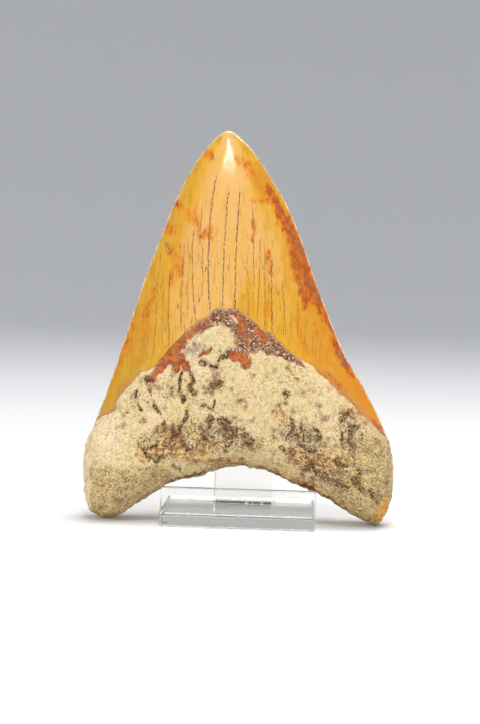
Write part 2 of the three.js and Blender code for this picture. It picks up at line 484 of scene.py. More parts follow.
CREVICES = (
    Streak(((-34.6, 40.5, 0.7), (-34.4, 37, 0.6), (-32.4, 34.3, 0.6)), 0.8),
    Streak(((-31.2, 44.8, 1.0), (-29.4, 44.6, 0.8))),
    Streak(((-30.9, 43.2, 0.5), (-30, 40.3, 0.6)), 0.8),
    Streak(((-28.2, 35.4, 0.5), (-26.6, 32.6, 0.6)), 0.8),
    Streak(((-19.8, 46.5, 0.6), (-20.4, 41.5, 0.8), (-19.3, 36.8, 0.9))),
    Streak(((-17.2, 46.5, 0.7), (-16.1, 43, 0.7), (-16.3, 41, 1.2), (-14.8, 39.9, 0.9))),
    Streak(((-14.2, 50, 1.1), (-12.4, 49.6, 0.7)), 0.9),
    Streak(((-10.2, 49.2, 0.8), (-8.5, 49, 0.6)), 0.8),
    Streak(((-7.6, 50.4, 0.6), (-5.6, 52.5, 1.0), (-4.8, 54, 0.7)), 0.8),
    Streak(((-9.3, 43, 1.0), (-8, 42, 1.2), (-7.1, 43.6, 0.7))),
    Streak(((-12, 35.6, 0.7), (-10.5, 35, 0.6)), 0.8),
    Streak(((-8.7, 37.2, 0.7), (-9.6, 34.6, 0.8)), 0.8),
    Streak(((-17.7, 33.2, 1.1), (-18.3, 30.5, 1.0), (-19.1, 28.3, 0.6))),
    Streak(((-19.6, 28, 0.7), (-19.4, 24, 0.7), (-16.8, 21.4, 0.9)), 0.9),
    Streak(((-22.6, 27.8, 0.9), (-21.4, 25, 1.0), (-23.5, 23.4, 0.8)), 0.8),
    Streak(((-25, 30, 0.6), (-24.8, 27, 0.7)), 0.7),
    Streak(((-13.2, 28.4, 0.8), (-12.2, 25.6, 0.8), (-9.8, 24.5, 0.7)), 0.8),
    Streak(((-10.5, 31.8, 1.0), (-9.2, 29.5, 1.0), (-9.6, 27, 0.7)), 0.9),
    Streak(((-7, 30.3, 0.9), (-5, 30, 1.3), (-4, 28, 1.7), (-2.4, 26.2, 1.9), (-5, 25.3, 1.3))),
    Streak(((-2.8, 23.7, 1.0), (-4.6, 21.6, 0.6)), 0.9),
    Streak(((-1.5, 27.8, 1.2), (0.6, 28.6, 0.8)), 0.9),
    Streak(((-28.8, 21.6, 1.0), (-26.8, 22.6, 0.7)), 0.8),
    Streak(((-31, 20.6, 0.7), (-29.6, 17.5, 0.7), (-26.4, 17, 0.8), (-25.4, 19.4, 0.6)), 0.8),
    Streak(((-21.5, 15.8, 0.8), (-19, 15.2, 0.5)), 0.7),
    Streak(((14.9, 40.3, 1.1), (16.2, 41.2, 0.7))),
    Streak(((1.6, 25.8, 1.2), (3.6, 25, 1.1), (2.0, 23.5, 0.5))),
    Streak(((16.4, 32.5, 0.7), (17.2, 30, 0.7), (16.4, 27.4, 1.2), (18.7, 27, 1.0)), 0.9),
    Streak(((15, 25.2, 0.7), (16, 27, 0.7)), 0.8),
    Streak(((19.7, 32.7, 0.5), (20.5, 28, 0.5), (20.7, 25, 0.5)), 0.8),
    Streak(((23.8, 29.6, 0.9), (25, 28.4, 0.9), (26.2, 26.3, 0.7)), 0.9),
    Streak(((16.6, 21.6, 1.1), (18.3, 21.3, 0.7))),
    Streak(((13.7, 22.4, 0.9), (14.8, 21.2, 0.5)), 0.9),
    Streak(((20.6, 23.2, 0.9), (24.8, 22.2, 1.0)), 0.8),
    Streak(((21.8, 16.8, 1.4), (23.8, 16.0, 0.8), (23.0, 18.3, 0.8)), 0.9),
    Streak(((25, 15.6, 1.4), (28, 13.9, 1.5), (29.2, 12.3, 0.8)), 0.9),
    Streak(((32.8, 32.6, 1.0), (35.2, 35, 0.8)), 0.8),
    Streak(((35.6, 31, 0.7), (38.2, 30.2, 0.7)), 0.8),
    Streak(((36, 29.2, 0.8), (36.3, 24.8, 0.8)), 0.7),
    Streak(((33.2, 27.5, 0.6), (33.6, 25, 0.8)), 0.7),
    Streak(((30.8, 19.2, 0.9), (34.8, 17.4, 1.0)), 0.8),
    Streak(((38.8, 15.2, 1.4), (38, 12, 1.7), (40, 10, 1.0)), 0.75),
    Streak(((30.5, 12, 0.9), (34, 10.4, 1.1), (35.4, 10.1, 0.7)), 0.8),
    Streak(((42.4, 9.8, 0.7), (43.6, 8, 0.6)), 0.9),
)
SPECKLED = (
    Streak(((-31, 23, 4), (-24, 23, 6), (-14, 27, 7), (-4, 27, 6), (4, 24, 3))),
    Streak(((15, 28, 4), (22, 25, 6), (26, 17, 6), (34, 14, 6), (37, 26, 5), (34, 34, 3))),
    Streak(((-34, 38, 3), (-20, 41, 4), (-15, 42, 3), (-8, 41, 3), (-8, 50, 2)), 0.35),
)
RUSTY_ROOT = (
    Streak(((-31, 19.5, 3.0), (-24, 21.5, 3.5), (-16, 20, 3.0), (-8, 18.4, 2.4), (2, 17.6, 1.6),
            (12, 15.4, 1.5), (22, 11.5, 1.6), (33, 5.5, 2.0))),
    Streak(((-25, 27, 3.0), (-20, 25, 2.6)), 0.7),
    Streak(((-14, 26, 2.0), (-9, 23, 2.6)), 0.7),
    Streak(((17, 20, 3.0), (27, 18.5, 3.4), (34, 21, 3.0)), 0.6),
    Streak(((12.5, 34, 2.0), (14, 31, 2.0)), 0.6),
    Streak(((14.6, 49.3, 0.6), (17.6, 45, 0.7), (19.6, 44, 0.6)), 0.9),
    Streak(((34, 36, 2.0), (40, 33, 2.4)), 0.7),
)
TAN_LOBES = (
    Streak(((-46, 3, 14), (-37, 6, 11), (-26, 12, 5))),
    Streak(((46, 20, 11), (45, 8, 13), (37, 8, 9))),
)
# Painted side light: the lobes' outer sides, painted paler where light grazes them from the side.
PAINTED_SIDE_LIGHT = (
    Streak(((-50.6, 27, 2.4), (-51.6, 17, 3.6), (-51, 8, 2.8), (-48.8, 3, 1.6))),
    Streak(((-45, 31, 5.0), (-42, 24, 6.0)), 0.9),
    Streak(((50.6, 22, 1.2), (51.2, 12, 1.4)), 0.7),
)
ARCH_LIP = (
    Streak(((-24, 10.2, 0.3), (-20.4, 12.2, 0.6), (-14, 13.8, 0.6), (-10, 15.2, 0.3))),
    Streak(((13, 14.6, 0.3), (17, 12.7, 0.6), (22, 10.6, 0.6), (26, 8.9, 0.8), (29, 7.2, 0.4))),
    Streak(((32, 5.6, 0.4), (37, 3.0, 0.5))),
)
ORANGE_FOOT = (Streak(((48.4, 7.5, 1.4), (47.0, 2.5, 1.8))),)
PLAIN_MARKS = {"grey": GREY, "rusty": RUSTY_ROOT, "pale": PAINTED_SIDE_LIGHT, "orange": ORANGE_FOOT}


@dataclass(frozen=True)
class Crack:
    """A long drying crack in the enamel, in mm across and up the tooth."""

    top: Point
    foot: Point
    bow: float = 0.0
    strength: float = 1.0
    width: float = 0.2

    def coefficients(self) -> Triple:
        """The line as a + b * up + c * up * up, bowed sideways at its middle.

        Returns:
            a, b and c.
        """
        (x1, y1), (x0, y0) = self.top, self.foot
        rise = y1 - y0
        c = -4 * self.bow / rise**2
        b = (x1 - x0) / rise - c * (y0 + y1)
        return x0 - b * y0 - c * y0 * y0, b, c


CRACKS = (
    Crack((-10.2, 118), (-10.8, 66), -1.7, 1.0, 0.22),
    Crack((-5.9, 113), (-6.8, 68), -0.6, 0.9, 0.22),
    Crack((-2.2, 112), (-2.7, 67), -0.5, 1.0, 0.22),
    Crack((-17.4, 98), (-15.3, 63), -1.0, 0.85, 0.2),
    Crack((-14.8, 107), (-15.4, 92), 0.0, 0.6, 0.2),
    Crack((-14.4, 93), (-14.0, 84), 0.0, 0.7, 0.18),
    Crack((-20.2, 92), (-20.4, 61), -0.5, 0.75, 0.2),
    Crack((-24.6, 84), (-24.2, 57), -0.5, 0.7, 0.2),
    Crack((-18.9, 79), (-18.3, 65), 0.0, 0.6, 0.18),
    Crack((-13.9, 80), (-13.9, 71), 0.0, 0.5, 0.16),
    Crack((-29.0, 73), (-29.2, 52), 0.0, 0.55, 0.18),
    Crack((-33.0, 65), (-32.6, 52), 0.0, 0.5, 0.16),
    Crack((-26.8, 70), (-26.6, 56), 0.0, 0.45, 0.16),
    Crack((2.2, 106), (3.3, 76), 0.0, 0.75, 0.2),
    Crack((0.4, 90), (2.0, 64), 0.0, 0.6, 0.18),
    Crack((4.9, 95), (4.5, 64), 0.3, 0.65, 0.18),
    Crack((6.4, 93), (7.3, 63), 0.0, 0.6, 0.18),
    Crack((9.0, 89), (9.7, 60), -0.1, 0.9, 0.2),
    Crack((7.9, 82), (8.3, 74), 0.0, 0.5, 0.16),
    Crack((12.7, 80), (14.3, 60), 0.0, 0.65, 0.18),
    Crack((15.8, 71), (16.2, 58), 0.0, 0.5, 0.16),
    Crack((18.0, 75), (18.2, 60), 0.0, 0.5, 0.16),
    Crack((20.6, 69), (20.9, 56), 0.0, 0.5, 0.16),
    Crack((23.1, 63), (23.2, 54), 0.0, 0.4, 0.16),
)


# ---- Finishes ------------------------------------------------------------------------------


@dataclass(frozen=True)
class Ground:
    """The places and noises that every layer of the tooth's colour is worked out from.

    Places are in the tooth's own millimetres. The noises run from the broadest to the finest.
    """

    net: Net
    spot: Wire
    across: Wire
    up: Wire
    broad: Wire
    patchy: Wire
    mottle: Wire
    crumb: Wire
    flecks: Wire
    fine: Wire
    specks: Wire

    @classmethod
    def of(cls, net: Net) -> "Ground":
        """Reads the places stored on the mesh and adds the noises.

        Args:
            net: the material's net.

        Returns:
            The places and noises.
        """
        spot = net.attribute("tooth_mm", "Vector")
        return cls(
            net=net,
            spot=spot,
            across=net.part(spot, "X"),
            up=net.part(spot, "Y"),
            broad=net.noise(spot, 0.11, 3.0, 0.55),
            patchy=net.noise(spot, 0.3, 2.0, 0.5),
            mottle=net.noise(spot, 0.45, 4.0),
            crumb=net.noise(spot, 0.95, 4.0, 0.7),
            flecks=net.grained(spot, (1.35, 1.2, 1.3), 2.0, 0.65, (7.0, 3.0, 1.0)),
            fine=net.noise(spot, 1.6),
            specks=net.noise(spot, 2.1, 1.0, 0.5),
        )

    def marked(self, name: str, mottled: float) -> Wire:
        """A kind of mark stored on the mesh, its rim broken up by the mottling."""
        return self.net.attribute(name) + self.mottle.swing(mottled)


@dataclass(frozen=True)
class EnamelFinish:
    """Honey enamel with rusty stains, bruises, dark cracks and hairlines."""

    peach: Colour = srgb(211, 160, 78)
    pink: Colour = srgb(214, 166, 106)
    olive: Colour = srgb(182, 138, 26)
    gold: Colour = srgb(204, 150, 34)
    amber: Colour = srgb(200, 134, 6)
    flame: Colour = srgb(204, 118, 4)
    rust: Colour = srgb(186, 92, 2)
    deep_rust: Colour = srgb(160, 66, 2)
    mauve: Colour = srgb(126, 78, 58)
    pale_fibre: Colour = srgb(234, 186, 112)
    ochre_streak: Colour = srgb(186, 116, 20)
    hairline: Colour = srgb(128, 72, 26)
    foot_painted_shade: Colour = srgb(150, 104, 44)
    crack_brown: Colour = srgb(92, 50, 26)
    crack_slate: Colour = srgb(52, 34, 38)
    worn_edge: Colour = srgb(248, 226, 186)
    crack_core: float = 1.6
    crack_falloff: float = 1.5
    crack_run_out: Point = (3.0, 2.0)

    def paint(self, at: Ground) -> tuple[Wire, Wire]:
        """Colours the crown.

        Args:
            at: places and noises.

        Returns:
            The colour and the crack mask.
        """
        net, spot = at.net, at.spot
        gilt_and_painted_light = net.attribute("gilt_and_painted_light")
        streaks = net.grained(spot, (0.9, 0.05, 0.4), 4.0)
        clouds = net.grained(spot, (0.16, 0.06, 0.1), 4.0)
        blotches = net.grained(spot, (0.3, 0.16, 0.2), 4.0, 0.65, (2.0, 8.0, 0.0))
        fibres = net.grained(spot, (2.0, 0.16, 0.8), 3.0, 0.6, (9.0, 0.0, 3.0))
        drift = clouds.swing(1.3) + blotches.swing(0.7)
        # Gold from the gilt map is partly painted light: paler along the middle as painted sheen, golder by
        # the edges and low on the left as painted shade.
        goldness_and_painted_light = gilt_and_painted_light + streaks.swing(1.3) + drift
        amber_side = at.across.step(-12.0, 6.0) * at.up.step(116.0, 96.0)

        paint = Paint(net, net.mix(blotches.step(0.4, 0.65) * 0.6, self.peach, self.pink))
        paint.lay(goldness_and_painted_light.step(0.1, 0.8), self.gold)
        paint.lay(goldness_and_painted_light.step(0.8, 1.3) * 0.85, net.mix(amber_side, self.olive, self.amber))
        paint.lay((drift + gilt_and_painted_light * 0.3).step(0.28, 0.6) * 0.5, self.flame)
        paint.lay(fibres.step(0.53, 0.7) * 0.24, self.pale_fibre)
        self.stain(at, paint)
        paint.lay(streaks.step(0.55, 0.72) * 0.4, self.ochre_streak)
        paint.lay(self.crazing(at) * 0.8, self.hairline)
        # Painted shade along the crown's foot on the left, where the enamel meets the crust.
        foot = at.marked("crown", 0.25).step(0.98, 0.6) * at.across.step(0.0, -20.0)
        paint.lay(foot * 0.6, self.foot_painted_shade)
        crack = self.cracks(at)
        paint.lay(crack * 0.92, net.mix(at.fine.step(0.42, 0.58), self.crack_brown, self.crack_slate))
        worn = net.attribute("edge").step(0.7, 0.15) * at.fine.step(0.4, 0.52)
        paint.lay(worn * 0.8, self.worn_edge)
        return paint.colour, crack

    def stain(self, at: Ground, paint: Paint) -> None:
        """Lays on the orange haze, the rust and the bruises.

        Args:
            at: places and noises.
            paint: the crown's colour so far.
        """
        feather = at.net.grained(at.spot, (1.1, 0.32, 0.5), 4.0, 0.65, (4.0, 1.0, 0.0))
        ragged = at.mottle.swing(1.4) + feather.swing(2.2)
        stain_map = at.net.attribute("rust")
        paint.lay((stain_map + ragged * 0.9).step(-0.3, 0.6) * 0.7, self.flame)
        rusts = at.net.mix(at.mottle.step(0.4, 0.62), self.rust, self.deep_rust)
        paint.lay((stain_map + ragged).step(0.3, 0.95) * 0.92, rusts)
        bruise = at.marked("mauve", 2.0) + at.fine.swing(2.6)
        paint.lay(bruise.step(0.25, 0.9) * 0.6, self.mauve)

    def cracks(self, at: Ground) -> Wire:
        """Draws the drying cracks.

        Args:
            at: places and noises.

        Returns:
            A mask that is 1 in a crack.
        """
        net, up = at.net, at.up
        sway = net.grained(at.spot, (0.3, 0.55, 0.3)).swing(0.9)
        jag = net.grained(at.spot, (0.2, 1.3, 0.2), 1.0, 0.5, (3.0, 0.0, 0.0)).swing(0.5)
        wandering = at.across + sway + jag
        below_over, above_over = self.crack_run_out
        drawn: list[Wire] = []
        for crack in CRACKS:
            a, b, c = crack.coefficients()
            line = net.maths("MULTIPLY_ADD", net.maths("MULTIPLY_ADD", up, c, b), up, a)
            fall = -self.crack_falloff / crack.width
            ink = net.maths("MULTIPLY_ADD", abs(wandering - line), fall, self.crack_core, clamp=True)
            below = net.maths("MULTIPLY_ADD", up, -1 / below_over, crack.top[1] / below_over, clamp=True)
            above = net.maths("MULTIPLY_ADD", up, 1 / above_over, -crack.foot[1] / above_over, clamp=True)
            drawn.append(ink * below * above * crack.strength)
        dots = net.grained(at.spot, (0.9, 1.7, 0.4), 2.0, 0.7)
        return reduce(Wire.__or__, drawn) * dots.step(0.38, 0.56)

    def crazing(self, at: Ground) -> Wire:
        """Draws faint hairlines along the crown, most of them low on it.

        Args:
            at: places and noises.

        Returns:
            A mask that is 1 in a hairline.
        """
        contours = at.net.grained(at.spot, (0.62, 0.012, 0.1), 1.0, 0.5, (5.0, 2.0, 0.0))
        lines = at.net.maths("PINGPONG", contours * 10.0, 0.5).step(0.1, 0.03)
        broken = at.net.grained(at.spot, (0.5, 0.09, 0.2), 3.0, 0.7, (9.0, 0.0, 0.0)).step(0.42, 0.54)
        dotted = at.net.grained(at.spot, (0.8, 1.5, 0.4), 2.0, 0.7, (0.0, 7.0, 0.0)).step(0.34, 0.52)
        return lines * broken * dotted * (at.up.step(112.0, 84.0) * at.up.step(48.0, 58.0))


@dataclass(frozen=True)
class RootFinish:
    """Cream crust on the root, with rust, red patches, a dark granular zone and crevices."""

    straw: Colour = srgb(230, 208, 150)
    blush: Colour = srgb(240, 208, 160)
    cream: Colour = srgb(240, 222, 182)
    shaded_crust: Colour = srgb(212, 186, 136)
    suede: Colour = srgb(214, 186, 120)
    tan: Colour = srgb(196, 164, 112)
    painted_side_light: Colour = srgb(244, 220, 186)
    stone: Colour = srgb(118, 112, 108)
    ash: Colour = srgb(216, 204, 176)
    hollow_shade: Colour = srgb(196, 176, 120)
    slope_shade: Colour = srgb(244, 242, 236)
    unshaded: Colour = srgb(255, 255, 255)
    band_honey: Colour = srgb(244, 208, 136)
    band_clay: Colour = srgb(222, 152, 84)
    band_brown: Colour = srgb(134, 88, 52)
    band_umber: Colour = srgb(88, 54, 38)
    bright_sand: Colour = srgb(255, 240, 204)
    dark_sand: Colour = srgb(160, 124, 72)
    pinhole: Colour = srgb(98, 70, 38)
    grain_brown: Colour = srgb(96, 60, 42)
    grain_pink: Colour = srgb(184, 138, 106)
    grain_dark: Colour = srgb(66, 46, 38)
    grain_rust: Colour = srgb(168, 82, 34)
    glinting_crystal: Colour = srgb(240, 226, 208)
    brick: Colour = srgb(206, 102, 14)
    deep_brick: Colour = srgb(150, 60, 10)
    liver: Colour = srgb(104, 48, 36)
    red_fleck: Colour = srgb(222, 160, 90)
    vein_brown: Colour = srgb(90, 50, 36)
    vein_sand: Colour = srgb(176, 136, 100)
    orange: Colour = srgb(216, 138, 30)
    apricot: Colour = srgb(228, 176, 90)
    crevice_halo: Colour = srgb(158, 118, 76)
    speckle_halo: Colour = srgb(168, 128, 82)
    soot: Colour = srgb(62, 42, 28)
    peat: Colour = srgb(104, 74, 48)
    rim_rust_and_shade: Colour = srgb(138, 62, 26)
    rim_brown_and_shade: Colour = srgb(78, 38, 26)
    brown: Colour = srgb(128, 86, 48)

    def paint(self, at: Ground) -> tuple[Wire, Wire, Wire]:
        """Colours the root.

        Args:
            at: places and noises.

        Returns:
            The colour, the pits and the mask of the shiny red patches.
        """
        net, mottle, flecks = at.net, at.mottle, at.flecks
        lobes = (at.marked("lobes", 1.6) + at.broad.swing(2.0)).step(-0.3, 1.2)
        # Painted side light: paler on the lobes' outer sides.
        painted_side_light = at.marked("pale", 0.8).step(-0.1, 0.6)
        speckled = net.attribute("speckled")
        paint = Paint(net, self.crust(at, lobes, painted_side_light))
        self.sand(at, paint)
        in_patches = speckled * 0.6 + at.patchy.swing(1.4) + at.across.step(-36.0, 10.0) * 0.22
        on_lobes = lobes * 0.9 - 0.3 + mottle.swing(1.5)
        pinholes = (at.specks.swing(5.0) + (in_patches | on_lobes)).step(0.78, 1.2) * (1 - painted_side_light)
        paint.lay(pinholes * 0.7, self.pinhole)
        paint.lay(net.attribute("bare"), self.granular(at))
        red = (at.marked("red", 1.2) + flecks.swing(1.4)).step(0.1, 0.4)
        paint.lay(red * 0.94, self.red_patch(at))
        foot = at.marked("orange", 0.8).step(0.05, 0.4)
        paint.lay(foot * 0.85, net.mix(at.crumb.step(0.4, 0.6), self.orange, self.apricot))
        dark = self.crevices(at, speckled, paint)
        # Dark rust and brown at the arch: painted shade along its whole rim, stain streaks on the front.
        lip = (at.marked("lip", 3.0) + flecks.swing(3.0)).step(0.1, 0.8)
        paint.lay(lip * 0.85, net.mix(flecks.step(0.42, 0.58), self.rim_rust_and_shade, self.rim_brown_and_shade))
        hollow = (net.attribute("hollow") + flecks.swing(2.0)).step(0.25, 1.0)
        paint.lay(hollow * 0.38, self.brown)
        return paint.colour, (pinholes * 0.7) | dark, red

    def crust(self, at: Ground, lobes: Wire, painted_side_light: Wire) -> Wire:
        """The crust's colour: cream to tan, grey and rusty in places, with painted shade towards the right
        and in its hollows.

        Args:
            at: places and noises.
            lobes: mask of the root's two ends.
            painted_side_light: mask of the lobes' outer sides, painted paler as light from the side.

        Returns:
            The colour.
        """
        net, mottle, crumb = at.net, at.mottle, at.crumb
        paint = Paint(net, net.mix(at.broad.step(0.4, 0.6), self.straw, self.blush))
        paint.lay((mottle + at.broad.swing(0.4)).step(0.38, 0.62) * 0.8, self.cream)
        shaded = at.across.step(-26.0, 0.0) * (mottle + at.flecks.swing(0.8)).step(0.4, 0.62)
        paint.lay(shaded * 0.5, self.shaded_crust)
        paint.lay(lobes * 0.7, net.mix(mottle.step(0.36, 0.62), self.suede, self.tan))
        paint.lay(painted_side_light * 0.8, self.painted_side_light)
        grey = (at.marked("grey", 2.4) + at.flecks.swing(3.6)).step(0.1, 0.7)
        paint.lay(grey * 0.7, net.mix(at.specks.step(0.44, 0.56), self.stone, self.ash))
        rusty = (at.marked("rusty", 2.2) + crumb.swing(2.0)).step(-0.1, 0.6)
        paint.lay(rusty * 0.85, self.rusty_bands(at))
        # Painted shade: darker where the crumb noise, which also raises the bump, is low.
        low = net.mix(crumb.step(0.3, 0.46), self.hollow_shade, self.slope_shade)
        shade = net.mix(crumb.step(0.5, 0.7), low, self.unshaded)
        return net.mix(1.0, paint.colour, shade, "MULTIPLY")

    def rusty_bands(self, at: Ground) -> Wire:
        """Bands of honey, clay and brown that follow the arch.

        Args:
            at: places and noises.

        Returns:
            The colour.
        """
        layers = at.net.grained(at.spot, (0.24, 0.62, 0.3), 4.0)
        bands = Paint(at.net, at.net.mix(layers.step(0.42, 0.56), self.band_honey, self.band_clay))
        bands.lay((layers + at.crumb.swing(0.9)).step(0.5, 0.62) * 0.8, self.band_brown)
        bands.lay((at.flecks + layers.swing(0.6)).step(0.54, 0.62) * 0.8, self.band_umber)
        return bands.colour

    def sand(self, at: Ground, paint: Paint) -> None:
        """Lays light and dark sand grains on the crust.

        Args:
            at: places and noises.
            paint: the root's colour so far.
        """
        grains = at.net.grained(at.spot, (1.7, 1.7, 1.7), 3.0, 0.75, (0.0, 8.5, 15.3))
        sandiness = 0.3 + (at.mottle + at.patchy.swing(0.8)).step(0.4, 0.62) * 0.45
        paint.lay(grains.step(0.54, 0.62) * sandiness * 0.8, self.bright_sand)
        paint.lay(grains.step(0.46, 0.38) * sandiness, self.dark_sand)

    def granular(self, at: Ground) -> Wire:
        """The dark granular zone below the enamel, with a few pale crystals painted bright as glints.

        Args:
            at: places and noises.

        Returns:
            The colour.
        """
        net, mottle = at.net, at.mottle
        chance = net.cells(at.spot, 2.1, output="Color")
        grains = (net.part(chance, "X") + mottle.swing(1.4)).step(0.1, 0.8)
        # Pale crystal grains, painted bright as glints.
        glinting_crystals = (net.part(chance, "Y") + at.crumb.swing(0.5)).step(0.9, 0.98)
        zone = Paint(net, net.mix(grains, self.grain_brown, self.grain_pink))
        zone.lay((at.crumb + mottle).step(1.04, 1.16) * 0.8, self.grain_dark)
        zone.lay((mottle + at.flecks).step(1.06, 1.16) * 0.6, self.grain_rust)
        zone.lay(glinting_crystals * 0.85, self.glinting_crystal)
        return zone.colour

    def red_patch(self, at: Ground) -> Wire:
        """Brick red with liver brown spots and a net of veins.

        Args:
            at: places and noises.

        Returns:
            The colour.
        """
        net, mottle, flecks = at.net, at.mottle, at.flecks
        depth = (mottle + at.crumb.swing(1.2)).step(0.4, 0.6)
        patch = Paint(net, net.mix(depth, self.brick, self.deep_brick))
        patch.lay((at.crumb + flecks).step(1.1, 1.24) * 0.7, self.liver)
        patch.lay(at.specks.step(0.6, 0.72) * 0.4, self.red_fleck)
        swayed = net.stretched(at.spot, (1.0, 1.0, 1.0), mottle * 3.0)
        veins = net.cells(swayed, 0.36, "DISTANCE_TO_EDGE").step(0.09, 0.03) * flecks.step(0.36, 0.46)
        patch.lay(veins * 0.65, net.mix(flecks.step(0.4, 0.55), self.vein_brown, self.vein_sand))
        return patch.colour

    def crevices(self, at: Ground, speckled: Wire, paint: Paint) -> Wire:
        """Lays on the crevices, the dark speckle round them and their brown halos.

        Args:
            at: places and noises.
            speckled: how speckled the crust is.
            paint: the root's colour so far.

        Returns:
            A mask that is 1 where the root is dark.
        """
        net, flecks = at.net, at.flecks
        dark_map = net.attribute("dark")
        crevice = dark_map + flecks.swing(3.6) + at.crumb.swing(1.6) + at.specks.swing(1.2)
        scatter = speckled * 0.9 - 0.8 + flecks.swing(4.2) + at.specks.swing(1.6)
        clefts = net.cells(
            net.stretched(at.spot, (1.0, 0.8, 1.0), at.crumb * 3.0), 0.34, "DISTANCE_TO_EDGE"
        ).step(0.12, 0.04)
        near_dark = ((dark_map | (speckled - 0.3)) + at.mottle.swing(2.2)).step(-0.1, 0.4)
        broken = clefts * near_dark * flecks.step(0.46, 0.56) * 0.8
        dark = crevice.step(0.32, 0.8) | scatter.step(0.3, 0.75) | broken
        paint.lay(crevice.step(-0.5, 0.3) * 0.5, self.crevice_halo)
        paint.lay(scatter.step(-0.5, 0.3) * 0.45, self.speckle_halo)
        paint.lay(dark * 0.86, net.mix(at.patchy.step(0.4, 0.6), self.soot, self.peat))
        return dark


@dataclass(frozen=True)
class FossilFinish:
    """The whole tooth's finish: glossy enamel on the crown and matt crust on the root."""

    enamel: EnamelFinish = EnamelFinish()
    root: RootFinish = RootFinish()

    def make(self) -> bpy.types.Material:
        """Builds the material from the values stored on the tooth's mesh.

        Returns:
            The material.
        """
        net = Net("fossil tooth")
        at = Ground.of(net)
        crown = at.marked("crown", 0.25).step(0.42, 0.58)
        enamel, crack = self.enamel.paint(at)
        root, pits, red = self.root.paint(at)
        grit = net.noise(at.spot, 2.6, 3.0, 0.65)
        wear = net.grained(at.spot, (0.6, 0.12, 0.6), 3.0, 0.5)
        enamel_rough = 0.12 + wear * 0.1 + crack * 0.3
        root_rough = (0.78 + at.fine * 0.2) - red * (0.12 + at.mottle * 0.36)
        enamel_height = wear * 0.1 + at.fine * 0.02 - crack * 0.55
        root_height = grit * 0.5 + at.crumb * 1.3 - pits * 0.7
        height = crown * enamel_height + (1 - crown) * root_height
        net.end(net.principled({
            "Base Color": net.mix(crown, root, enamel),
            "Roughness": (crown * enamel_rough + (1 - crown) * root_rough).clamp(),
            "Normal": net.bump(height, 0.5 * MM),
            "Specular IOR Level": 0.5,
            "Coat Weight": crown * 0.2,
            "Coat Roughness": 0.12,
            "IOR": 1.5,
        }))
        return net.material


@dataclass(frozen=True)
class AcrylicFinish:
    """Clear cast acrylic with polished edges."""

    tint: Colour = (0.955, 0.945, 0.925)
    shade: Colour = (0.85, 0.84, 0.82)
    roughness: float = 0.01
    refraction: float = 1.49
    waves_per_m: float = 60.0
    wave_height: float = 0.02 * MM

    def make(self) -> bpy.types.Material:
        """Builds the clear material; lamps shine through it with a light shadow.

        Returns:
            The material.
        """
        net = Net("clear acrylic")
        spot = net.node("ShaderNodeTexCoord", {}, {}, "Object")
        waves = net.noise(spot, self.waves_per_m, 2.0, 0.55)
        clear = net.principled({
            "Base Color": self.tint,
            "Roughness": self.roughness,
            "IOR": self.refraction,
            "Transmission Weight": 1.0,
            "Normal": net.bump(waves, self.wave_height),
        })
        lit = net.node("ShaderNodeLightPath", {}, {}, "Is Shadow Ray")
        let_by = net.node("ShaderNodeBsdfTransparent", {}, {"Color": self.shade})
        net.end(net.node("ShaderNodeMixShader", {}, {0: lit, 1: clear, 2: let_by}))
        return net.material


@dataclass(frozen=True)
class CementFinish:
    """Dried cement: clear where it has run out well, grey where air is trapped in it."""

    name: str
    trapped: float
    bubbles_per_m: float = 320.0
    specks_per_m: float = 700.0
    grey: Colour = srgb(44, 44, 48)
    air: Colour = srgb(200, 202, 206)

    def make(self) -> bpy.types.Material:
        """Builds the patchy material.

        Returns:
            The material.
        """
        net = Net(self.name)
        spot = net.node("ShaderNodeTexCoord", {}, {}, "Object")
        cloud = net.noise(spot, self.specks_per_m, 2.0, 0.55)
        patches = net.noise(net.stretched(spot, (1.0, 2.5, 1.0)), self.bubbles_per_m, 3.0, 0.65)
        net.end(net.principled({
            "Base Color": net.mix(cloud.step(0.56, 0.68), self.grey, self.air),
            "Roughness": 0.6,
            "Specular IOR Level": 0.05,
            "Alpha": (patches + (self.trapped - 0.5)).step(0.44, 0.52),
        }))
        return net.material


@dataclass(frozen=True)
class FloorFinish:
    """Plain pale paper."""

    colour: Colour = (0.86, 0.86, 0.86)

    def make(self) -> bpy.types.Material:
        """Builds the matt material.

        Returns:
            The material.
        """
        net = Net("pale floor")
        net.end(net.principled({"Base Color": self.colour, "Roughness": 0.9, "Specular IOR Level": 0.2}))
        return net.material


# ---- Mesh helpers --------------------------------------------------------------------------


def mesh_object(name: str, points: np.ndarray, faces: Sequence[Sequence[int]]) -> bpy.types.Object:
    """Makes a smooth-shaded mesh object.

    Args:
        name: its name.
        points: corners in metres.
        faces: corner numbers of each face.

    Returns:
        The object, linked to the scene.
    """
    mesh = bpy.data.meshes.new(name)
    mesh.from_pydata(points.tolist(), [], [list(face) for face in faces])
    mesh.validate()
    mesh.polygons.foreach_set("use_smooth", [True] * len(mesh.polygons))
    mesh.update()
    made = bpy.data.objects.new(name, mesh)
    bpy.context.scene.collection.objects.link(made)
    return made


def finish_piece(piece: bpy.types.Object, slot: str, *nodes: str) -> None:
    """Hangs a piece on the frame and hides the CAD nodes that it replaces.

    Args:
        piece: the piece.
        slot: not used.
        nodes: the CAD nodes that it replaces, if any.
    """
    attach(piece, BODY)
    if nodes:
        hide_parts(*nodes)
    LOG.info("%s: %d faces", piece.name, len(piece.data.polygons))


def stand_front() -> Vector:
    """The point on the table at the middle of the base's width, in the plane of the lip's face."""
    low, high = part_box("stand_base")
    return Vector(((low.x + high.x) / 2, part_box("stand_lip")[0].y, low.z))


